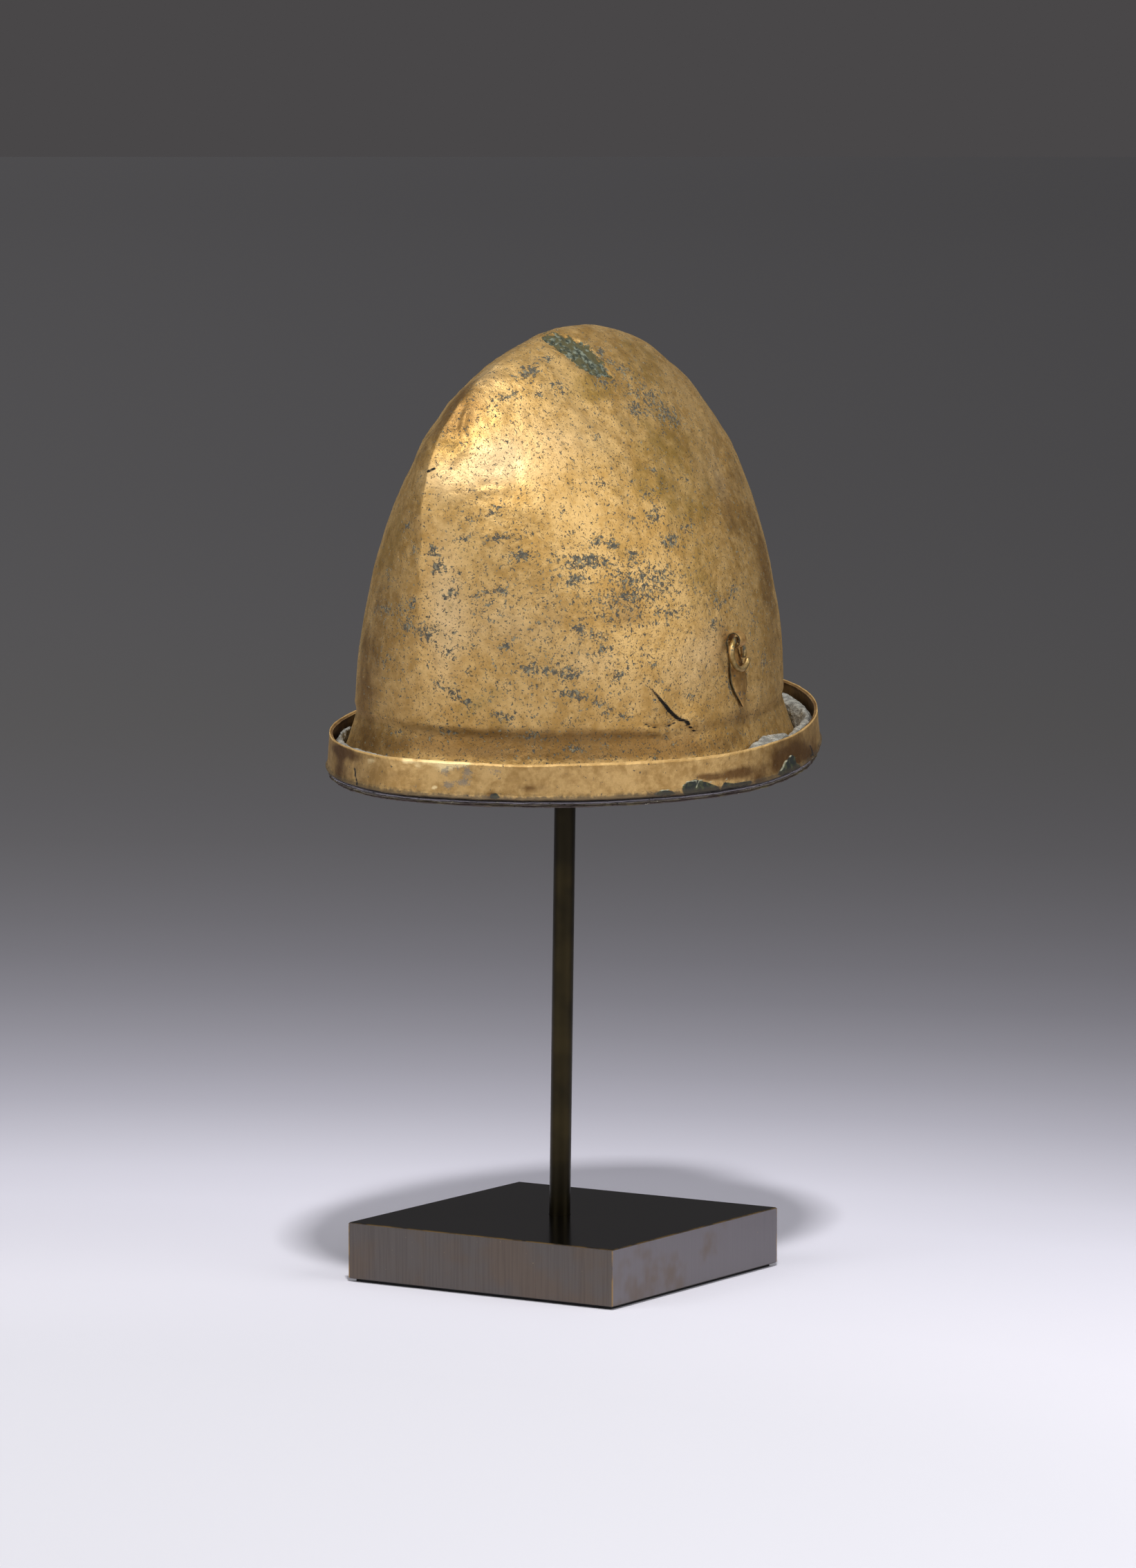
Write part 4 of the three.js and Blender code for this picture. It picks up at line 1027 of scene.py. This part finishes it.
# %% Sockets that add and multiply
class Socket:
    """Output of a shader node. The signs + - * make Math nodes, with a number on either side."""

    def __init__(self, tree, plug=None):
        self.tree, self.plug = tree, plug

    def node(self, kind, inputs, output=0, **settings):
        """New node of a kind: its settings are set first, then its inputs are linked or set."""
        made = self.tree.nodes.new("ShaderNode" + kind)
        for key, value in settings.items():
            setattr(made, key, value)
        for key, value in inputs.items():
            if isinstance(value, Socket):
                self.tree.links.new(value.plug, made.inputs[key])
            else:
                made.inputs[key].default_value = value
        return Socket(self.tree, made.outputs[output])

    def maths(self, operation, first, second):
        """Math node with two inputs."""
        return self.node("Math", {0: first, 1: second}, operation=operation)

    def __add__(self, other):
        return self.maths("ADD", self, other)

    def __radd__(self, other):
        return self.maths("ADD", other, self)

    def __sub__(self, other):
        return self.maths("SUBTRACT", self, other)

    def __rsub__(self, other):
        return self.maths("SUBTRACT", other, self)

    def __mul__(self, other):
        return self.maths("MULTIPLY", self, other)

    def __rmul__(self, other):
        return self.maths("MULTIPLY", other, self)

    def ramp(self, low, high):
        """0 where this is below low, 1 above high, and smooth between."""
        return self.node("MapRange", {0: self, 1: low, 2: high}, interpolation_type="SMOOTHSTEP")

    def paint(self, under, over):
        """Colour that goes from under, where this is 0, to over, where it is 1."""
        return self.node("Mix", {0: self, 6: under, 7: over}, 2, data_type="RGBA")

    def noise(self, size, detail=3.0, rough=0.5):
        """Noise of a grain size in mm at this point, about 0.5 on average."""
        inputs = {"Vector": self, "Scale": 1 / size, "Detail": detail, "Roughness": rough}
        return self.node("TexNoise", inputs)

    def stretched(self, factors):
        """This point with each coordinate multiplied."""
        return self.node("VectorMath", {0: self, 1: factors}, operation="MULTIPLY")

    def value(self, name):
        """A value that the piece holds for its points."""
        return self.node("Attribute", {}, "Fac", attribute_name=name)


def tone(red, green, blue):
    """Linear colour from the 0 to 255 values that a screen shows."""
    share = np.array([red, green, blue]) / 255
    linear = np.where(share < 0.0405, share / 12.92, ((share + 0.055) / 1.055) ** 2.4)
    return (*linear.tolist(), 1.0)


def empty_material(name):
    """Material without nodes, and a sheet to make them on."""
    made = bpy.data.materials.new(name)
    made.use_nodes = True
    made.node_tree.nodes.clear()
    return made, Socket(made.node_tree)


def end_with(made, inputs):
    """Ends a material with its shader."""
    shader = Socket(made.node_tree).node("BsdfPrincipled", inputs, "BSDF")
    end = made.node_tree.nodes.new("ShaderNodeOutputMaterial")
    made.node_tree.links.new(shader.plug, end.inputs["Surface"])
    return made


def new_material(name):
    """Empty material, and the point of the surface in helmet mm and in the shared frame's mm."""
    made, sheet = empty_material(name)
    point = sheet.node("TexCoord", {}, "Object")
    turned = tuple(Matrix(helmet_turn.tolist()).to_euler())
    helmet = sheet.node("Mapping", {"Vector": point, "Location": tuple(helmet_place * MM), "Rotation": turned,
                                    "Scale": (MM, MM, MM)}, vector_type="TEXTURE")
    return made, helmet, point.stretched((1 / MM, 1 / MM, 1 / MM))


def surface(made, colour, metallic, roughness, height, **more):
    """Ends a material whose height, in mm, raises the surface by a Bump node."""
    bump = Socket(made.node_tree).node("Bump", {"Distance": MM, "Height": height}, "Normal")
    inputs = {"Base Color": colour, "Metallic": metallic, "Roughness": roughness, "Normal": bump}
    inputs.update({key.replace("_", " "): value for key, value in more.items()})
    return end_with(made, inputs)


# %% [markdown]
# Bronze is a metal with a golden reflection. Broad noise mottles it, and the charted values tint it olive or
# brown.
# The brown also paints shade in the neck groove, along the outline and over part of the bright spot, and the
# pale values paint light on the lit places. Pits are noise above a level that drops where a cluster is
# charted. They are sunk, dull and blue grey.

# %% Bronze finishes
GOLD, GOLD_DEEP = tone(218, 182, 120), tone(189, 150, 86)
# The pale tint is painted light, and the brown tint is partly painted shade.
OLIVE_TINT, BROWN_AND_SHADE_TINT, PAINTED_LIGHT_TINT = tone(152, 122, 56), tone(122, 88, 46), tone(238, 210, 163)
PIT, PIT_PALE, BLACK, INSIDE = tone(76, 73, 63), tone(132, 124, 98), tone(14, 12, 9), tone(64, 54, 34)


def bronze_colour(place, deep, gold):
    """Mottled gold: broad, medium and fine noise, so that no area is plain."""
    broad, medium, fine = place.noise(24, 4.0, 0.6), place.noise(6, 3.0), place.noise(2.4, 3.0, 0.6)
    return (0.45 * broad + 0.25 * medium + 0.3 * fine).ramp(0.38, 0.62).paint(deep, gold)


def crown_finish():
    """Gold with stains, painted shade and painted light, then pits and specks, the crust, the tear's dark
    line, painted shade along the fold, and the dark inside.
    """
    made, place, _ = new_material("crown_bronze")
    fine, grain = place.noise(2.4, 4.0, 0.6), place.noise(0.5, 1.0)
    patchy = place.noise(9, 4.0, 0.6)
    colour = bronze_colour(place, GOLD_DEEP, GOLD)
    # Painted light: the charted lit places are lightened towards a pale gold.
    colour = (0.7 * (place.value("pale") + 0.5 * patchy).ramp(0.3, 1.1)).paint(colour, PAINTED_LIGHT_TINT)
    colour = (0.75 * (0.7 * place.value("olive") + 1.3 * patchy).ramp(0.7, 1.4)).paint(colour, OLIVE_TINT)
    # Brown: stains, and painted shade in the neck groove, along the outline and over part of the bright spot.
    colour = (0.75 * (0.8 * place.value("brown") + 1.2 * patchy).ramp(0.68, 1.5)).paint(colour, BROWN_AND_SHADE_TINT)
    cluster = place.value("pits").ramp(0.0, 1.3)
    level = 0.60 * place.noise(1.9, 4.0, 0.65) + 0.40 * place.noise(0.8, 3.0, 0.6)
    pit = (level + 0.115 * cluster).ramp(0.575, 0.605)
    speck = (place.noise(0.9, 2.0) + 0.05 * cluster).ramp(0.62, 0.67)
    pit_colour = place.noise(1.6, 2.0).ramp(0.48, 0.66).paint(PIT, PIT_PALE)
    colour = pit.paint(colour, pit_colour)
    colour = (0.7 * speck).paint(colour, PIT)
    crust = (place.value("scar") + 7 * fine + 4 * place.noise(5, 2.0)).ramp(5.3, 6.1)
    crust_colour = place.noise(2.2, 4.0, 0.7).ramp(0.42, 0.62).paint(tone(46, 52, 38), tone(124, 130, 112))
    crust_colour = place.noise(4, 3.0).ramp(0.44, 0.56).paint(crust_colour, tone(78, 74, 44))
    colour = crust.paint(colour, crust_colour)
    # Black along the open tear and slit, and painted shade along the fold's crease.
    crack_and_fold_shade = 1 - (place.value("crack") + 0.3 * fine).ramp(0.42, 0.80)
    colour = crack_and_fold_shade.paint(colour, BLACK)
    inside = place.value("inside").ramp(0.2, 0.8)
    colour = inside.paint(colour, INSIDE)
    dull = (pit + crust + crack_and_fold_shade).ramp(0, 1)
    roughness = 0.45 + 0.18 * fine + 0.30 * dull + 0.12 * inside
    metallic = 0.92 - 0.85 * dull - 0.25 * inside
    height = 0.07 * grain + 0.16 * fine + 0.45 * patchy - 0.16 * pit + 0.6 * crust * fine - 0.05 * speck
    return surface(made, colour, metallic, roughness, height)


def band_finish():
    """Gold with stains, worn patches, grey specks, painted shade on the inner face, a top edge lightened as
    wear and painted highlight, and a dark foot and crack.
    """
    made, place, _ = new_material("band_bronze")
    fine, grain, patchy = place.noise(2.2, 4.0, 0.6), place.noise(0.5, 1.0), place.noise(8, 4.0, 0.6)
    colour = bronze_colour(place, tone(176, 140, 84), tone(214, 178, 118))
    colour = (0.8 * (place.value("brown") + patchy).ramp(0.6, 1.3)).paint(colour, tone(92, 58, 30))
    colour = (0.9 * (place.value("worn") + 0.6 * fine).ramp(0.55, 1.0)).paint(colour, tone(252, 226, 168))
    grey = 0.75 * (place.value("grey") + 2.0 * place.noise(1.0, 4.0, 0.7)).ramp(1.40, 1.85)
    colour = grey.paint(colour, tone(112, 106, 96))
    stain = (place.value("stain") + 0.8 * fine).ramp(0.2, 0.7)
    stain_colour = place.noise(3, 3.0).ramp(0.45, 0.65).paint(tone(28, 34, 28), tone(66, 70, 44))
    colour = stain.paint(colour, stain_colour)
    rim = 1 - (place.value("pale_rim") + 0.5 * fine).ramp(0.35, 0.75)
    colour = rim.paint(colour, tone(170, 168, 140))
    pit = (0.6 * place.noise(2.0, 4.0, 0.7) + 0.4 * place.noise(0.9, 2.0)).ramp(0.62, 0.66)
    colour = pit.paint(colour, PIT)
    # The top edge is painted a lighter brass: partly rubbed wear, and partly a painted highlight where the
    # rounded edge catches the light.
    edge = place.value("top").ramp(0.93, 0.98)
    colour = (0.15 * edge).paint(colour, tone(240, 206, 136))
    foot = 1 - (place.value("top") + 0.2 * fine).ramp(0.18, 0.32)
    colour = (0.85 * foot).paint(colour, tone(44, 36, 24))
    gap = 1 - (place.value("crack") + 0.3 * fine).ramp(0.35, 0.7)
    colour = gap.paint(colour, BLACK)
    dull = (0.8 * grey + 0.8 * stain + rim + pit + gap + 0.7 * foot).ramp(0, 1)
    height = 0.07 * grain + 0.16 * fine + 0.30 * patchy - 0.12 * pit + 0.1 * rim
    roughness = 0.42 + 0.14 * fine + 0.22 * dull + 0.3 * edge
    return surface(made, colour, 0.92 - 0.8 * dull - 0.4 * edge, roughness, height)


def hanger_finish():
    """Gold that darkens towards the leaf's sides."""
    made, place, _ = new_material("hanger_bronze")
    fine = place.noise(1.6, 3.0, 0.6)
    colour = bronze_colour(place, tone(150, 112, 60), tone(200, 160, 100))
    side = place.value("leaf_side")
    rim = (side * side + 0.35 * fine).ramp(0.92, 1.2)
    colour = rim.paint(colour, tone(58, 56, 36))
    spot = (place.noise(2.2, 3.0, 0.6) + 0.1 * place.value("leaf_along")).ramp(0.66, 0.70)
    colour = spot.paint(colour, PIT)
    dull = (rim + spot).ramp(0, 1)
    return surface(made, colour, 0.9 - 0.6 * dull, 0.40 + 0.2 * fine + 0.2 * dull, 0.12 * fine - 0.1 * spot)


def ring_finish():
    """Brown gold with grey green spots towards the inner end."""
    made, place, _ = new_material("ring_bronze")
    fine = place.noise(1.2, 3.0, 0.6)
    colour = place.noise(5, 3.0).ramp(0.4, 0.6).paint(tone(136, 112, 66), tone(188, 158, 106))
    spot = (fine + 0.15 * place.value("wire_along")).ramp(0.62, 0.70)
    colour = spot.paint(colour, tone(90, 92, 76))
    return surface(made, colour, 0.9 - 0.6 * spot, 0.38 + 0.2 * fine + 0.2 * spot, 0.08 * fine)


# %% [markdown]
# The fill is chalky and lumpy. The ring under the band is corroded into layers, each with its own
# shade. The stand is dark bronze, brushed upright on its sides, with its edges rubbed to a thin line. Its
# top is painted darker and its right face lighter, as painted reflections.

# %% Fill, layers and stand
EDGE_START, EDGE_FULL = 0.6, 0.45


def fill_finish():
    """Light grey lumps with a darker grain."""
    made, place, _ = new_material("grey_fill")
    lumps, fine = place.noise(3.5, 4.0, 0.6), place.noise(1.0, 3.0, 0.6)
    colour = lumps.ramp(0.38, 0.62).paint(tone(118, 117, 110), tone(168, 167, 158))
    colour = (0.7 * fine.ramp(0.58, 0.72)).paint(colour, tone(88, 84, 72))
    return surface(made, colour, 0.0, 0.9, 2.0 * lumps + 0.9 * fine)


def layer_finish():
    """Layers from brown to pale grey, with pale flakes and dark pores."""
    made, place, _ = new_material("corroded_bronze")
    fine, broad = place.noise(1.4, 4.0, 0.6), place.noise(14, 3.0, 0.6)
    layer = place.value("layer")
    colour = (broad + 0.3 * layer).ramp(0.5, 0.75).paint(tone(74, 62, 58), tone(108, 98, 72))
    colour = (layer + 0.6 * broad - 0.3 * fine).ramp(0.60, 0.95).paint(colour, tone(138, 134, 142))
    flake = place.stretched((0.3, 0.3, 1.0)).noise(1.3, 3.0, 0.6).ramp(0.66, 0.70)
    colour = flake.paint(colour, tone(176, 170, 150))
    colour = fine.ramp(0.62, 0.68).paint(colour, tone(26, 22, 18))
    return surface(made, colour, 0.35, 0.62, 0.35 * fine)


def post_finish():
    """Olive brown with faint upright streaks."""
    made, _, place = new_material("post_metal")
    streak = place.stretched((1.0, 1.0, 0.05)).noise(1.2, 2.0)
    colour = place.noise(30, 3.0).ramp(0.4, 0.65).paint(tone(44, 39, 27), tone(62, 54, 34))
    return surface(made, colour, 0.95, 0.30 + 0.12 * streak, 0.01 * streak)


def plate_finish():
    """Brushed plate. An edge is near where two of the three distances to the faces are small. The top face is
    painted darker and the right face lighter, as painted reflections.
    """
    made, _, place = new_material("plate_metal")
    split = {axis: place.node("SeparateXYZ", {0: place}, axis) for axis in "XYZ"}
    size = {axis: place.maths("ABSOLUTE", split[axis], 0.0) for axis in "XY"}
    half = PLATE_WIDTH / 2
    at_side = {axis: size[axis].ramp(half - EDGE_START, half - EDGE_FULL) for axis in "XY"}
    at_top = split["Z"].ramp(PLATE_TOP - EDGE_START, PLATE_TOP - EDGE_FULL)
    wander = place.noise(9, 3.0, 0.6)
    any_side = (at_side["X"] + at_side["Y"]).ramp(0, 1)
    line = (at_side["X"] * at_side["Y"] + at_top * any_side).ramp(0.5, 0.9)
    brush = place.stretched((1.0, 1.0, 0.02)).noise(0.8, 3.0, 0.6)
    patch = place.noise(26, 3.0, 0.6)
    colour = patch.ramp(0.42, 0.66).paint(tone(104, 98, 94), tone(108, 97, 88))
    colour = (0.25 * brush.ramp(0.4, 0.7)).paint(colour, tone(74, 68, 66))
    # Painted reflection: the right face is painted a lighter blue grey, as a sheen of the light that it
    # reflects.
    right = patch.ramp(0.5, 0.68).paint(tone(134, 130, 133), tone(124, 113, 106))
    colour = (0.75 * split["X"].ramp(half - 0.1, half - 0.03)).paint(colour, right)
    # Painted reflection: the top face is painted dark for the dark backdrop that it reflects.
    top = split["Z"].ramp(PLATE_TOP - 0.3, PLATE_TOP - 0.1)
    colour = top.paint(colour, tone(52, 48, 44))
    colour = (0.6 * line * wander.ramp(0.3, 0.6)).paint(colour, tone(184, 148, 88))
    speck = place.noise(0.9, 1.0).ramp(0.80, 0.83)
    colour = speck.paint(colour, tone(170, 150, 120))
    roughness = 0.26 + 0.14 * brush - 0.16 * top
    return surface(made, colour, 0.97, roughness, 0.006 * brush, Specular_Tint=(0.75, 0.75, 0.75, 1.0))


def pad_finish():
    """Plain matte black."""
    made, _, place = new_material("pad_rubber")
    return surface(made, tone(22, 22, 24), 0.0, 0.85, 0.02 * place.noise(0.6, 1.0))


finishes = {crown: crown_finish(), band: band_finish(), hanger: hanger_finish(), ring: ring_finish(),
            fill: fill_finish(), under_ring: layer_finish(), post: post_finish(),
            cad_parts["base_plate"]: plate_finish(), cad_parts["base_pad"]: pad_finish()}
for piece, made in finishes.items():
    if not piece.material_slots:
        piece.data.materials.append(made)
    for place in piece.material_slots:
        place.material = made
    print(piece.name, "nodes:", len(made.node_tree.nodes))

# %% [markdown]
# The photograph's floor and backdrop are one sweep that falls off from near white to dark grey. Here it is
# one large disc whose tone is a painted falloff of light: it darkens with the distance from the object and
# towards the sides of the view. It lies under a small key light in front and above, which throws the shadow,
# and large soft fills.

# %% Floor
# Painted falloff of light: the floor's tone at each distance from the object.
FLOOR_PAINTED_FALLOFF = table(
    "metres red green blue",
    (0.0, 207, 206, 212), (0.5, 218, 217, 224), (0.75, 231, 229, 238), (0.95, 230, 228, 239),
    (1.12, 212, 210, 221), (1.3, 187, 185, 196), (1.55, 163, 161, 170), (1.85, 144, 142, 149),
    (2.25, 133, 131, 135), (2.7, 128, 126, 128), (3.2, 130, 128, 128), (4.75, 139, 137, 137),
    (6.0, 142, 140, 140), (10, 144, 142, 142), (16, 143, 141, 141), (40, 139, 137, 137),
    (92, 140, 138, 138), (400, 148, 146, 146))
FLOOR_MIDDLE = np.array([0.15, -0.75])
FLOOR_RINGS, FLOOR_SIDES, FLOOR_INNER, FLOOR_OUTER = 90, 192, 0.05, 400
SIDE_PAINTED_FALLOFF, SIDE_LIMIT = 1.4, 0.12


def stage_floor():
    """Disc of rings whose radii grow as powers, with a colour per point read from the table, a painted
    falloff of light.
    """
    radii = FLOOR_INNER * (FLOOR_OUTER / FLOOR_INNER) ** np.linspace(0, 1, FLOOR_RINGS)
    angle = full_turn(FLOOR_SIDES)
    rings = radii[:, None, None] * np.stack([np.cos(angle), np.sin(angle)], -1)
    points = rings.reshape(-1, 2) + FLOOR_MIDDLE
    points = np.concatenate([np.pad(points, ((0, 0), (0, 1))), [[*FLOOR_MIDDLE, 0]]])
    side = np.arange(FLOOR_SIDES)
    fan = np.stack([side, (side + 1) % FLOOR_SIDES, np.full(FLOOR_SIDES, len(points) - 1)], -1)
    mesh = bpy.data.meshes.new("floor")
    faces = grid_faces(FLOOR_RINGS, FLOOR_SIDES)[:, ::-1]
    mesh.from_pydata(points.tolist(), [], faces.tolist() + fan.tolist())
    paint = np.ones((len(points), 4))
    for channel, name in enumerate(("red", "green", "blue")):
        levels = np.array([tone(value, 0, 0)[0] for value in FLOOR_PAINTED_FALLOFF[name]])
        paint[:-1, channel] = np.repeat(curve(FLOOR_PAINTED_FALLOFF["metres"], levels, radii), FLOOR_SIDES)
        paint[-1, channel] = levels[0]
    # Painted falloff: far off, the floor is painted darker towards the sides of the view.
    away = points - eye_place * MM
    sideways = np.clip((away @ look_right) / np.maximum(-away @ look_back, 0.1), -SIDE_LIMIT, SIDE_LIMIT)
    radius = np.linalg.norm(points[:, :2] - FLOOR_MIDDLE, axis=1)
    painted_side_falloff = SIDE_PAINTED_FALLOFF * smooth_step(1.0, 1.8, radius) * smooth_step(0.5, 3.0, -away @ look_back)
    paint[:, :3] *= (1 - painted_side_falloff * sideways)[:, None]
    mesh.attributes.new("paint", "FLOAT_COLOR", "POINT").data.foreach_set("color", paint.reshape(-1))
    floor = add_object("floor", mesh)
    made, sheet = empty_material("floor")
    colour = sheet.node("Attribute", {}, "Color", attribute_name="paint")
    end_with(made, {"Base Color": colour, "Roughness": 0.9, "Specular IOR Level": 0.1})
    mesh.materials.append(made)


stage_floor()

# %% Lights
LIGHTS = table(
    "azimuth elevation metres size watts",
    (35.5, 57, 2.2, 0.18, 38),
    (-20, 24, 2.4, 1.6, 19),
    (95, 24, 2.4, 1.6, 20))


def add_light(number, azimuth, elevation, metres, size, watts):
    """Area light at a direction and distance from the helmet, turned towards it."""
    lamp = bpy.data.lights.new(f"light_{number}", "AREA")
    lamp.energy, lamp.size = watts, size
    a, e = np.radians([azimuth, elevation])
    way = Vector((np.sin(a) * np.cos(e), -np.cos(a) * np.cos(e), np.sin(e)))
    holder = add_object(lamp.name, lamp)
    holder.location = Vector((0, 0, 0.3)) + way * metres
    holder.rotation_euler = way.to_track_quat("Z", "Y").to_euler()


for number, row in enumerate(zip(*LIGHTS.values())):
    add_light(number, *row)
world = bpy.data.worlds.new("studio")
world.use_nodes = True
sky = Socket(world.node_tree).node("TexCoord", {}, "Generated")
sky = sky.node("SeparateXYZ", {0: sky}, "Z").ramp(0.1, 0.6).paint(tone(73, 71, 72), tone(142, 142, 145))
world.node_tree.links.new(sky.plug, world.node_tree.nodes["Background"].inputs["Color"])
bpy.context.scene.world = world
bpy.context.scene.view_settings.view_transform = "Standard"
bpy.context.scene.view_settings.look = "None"
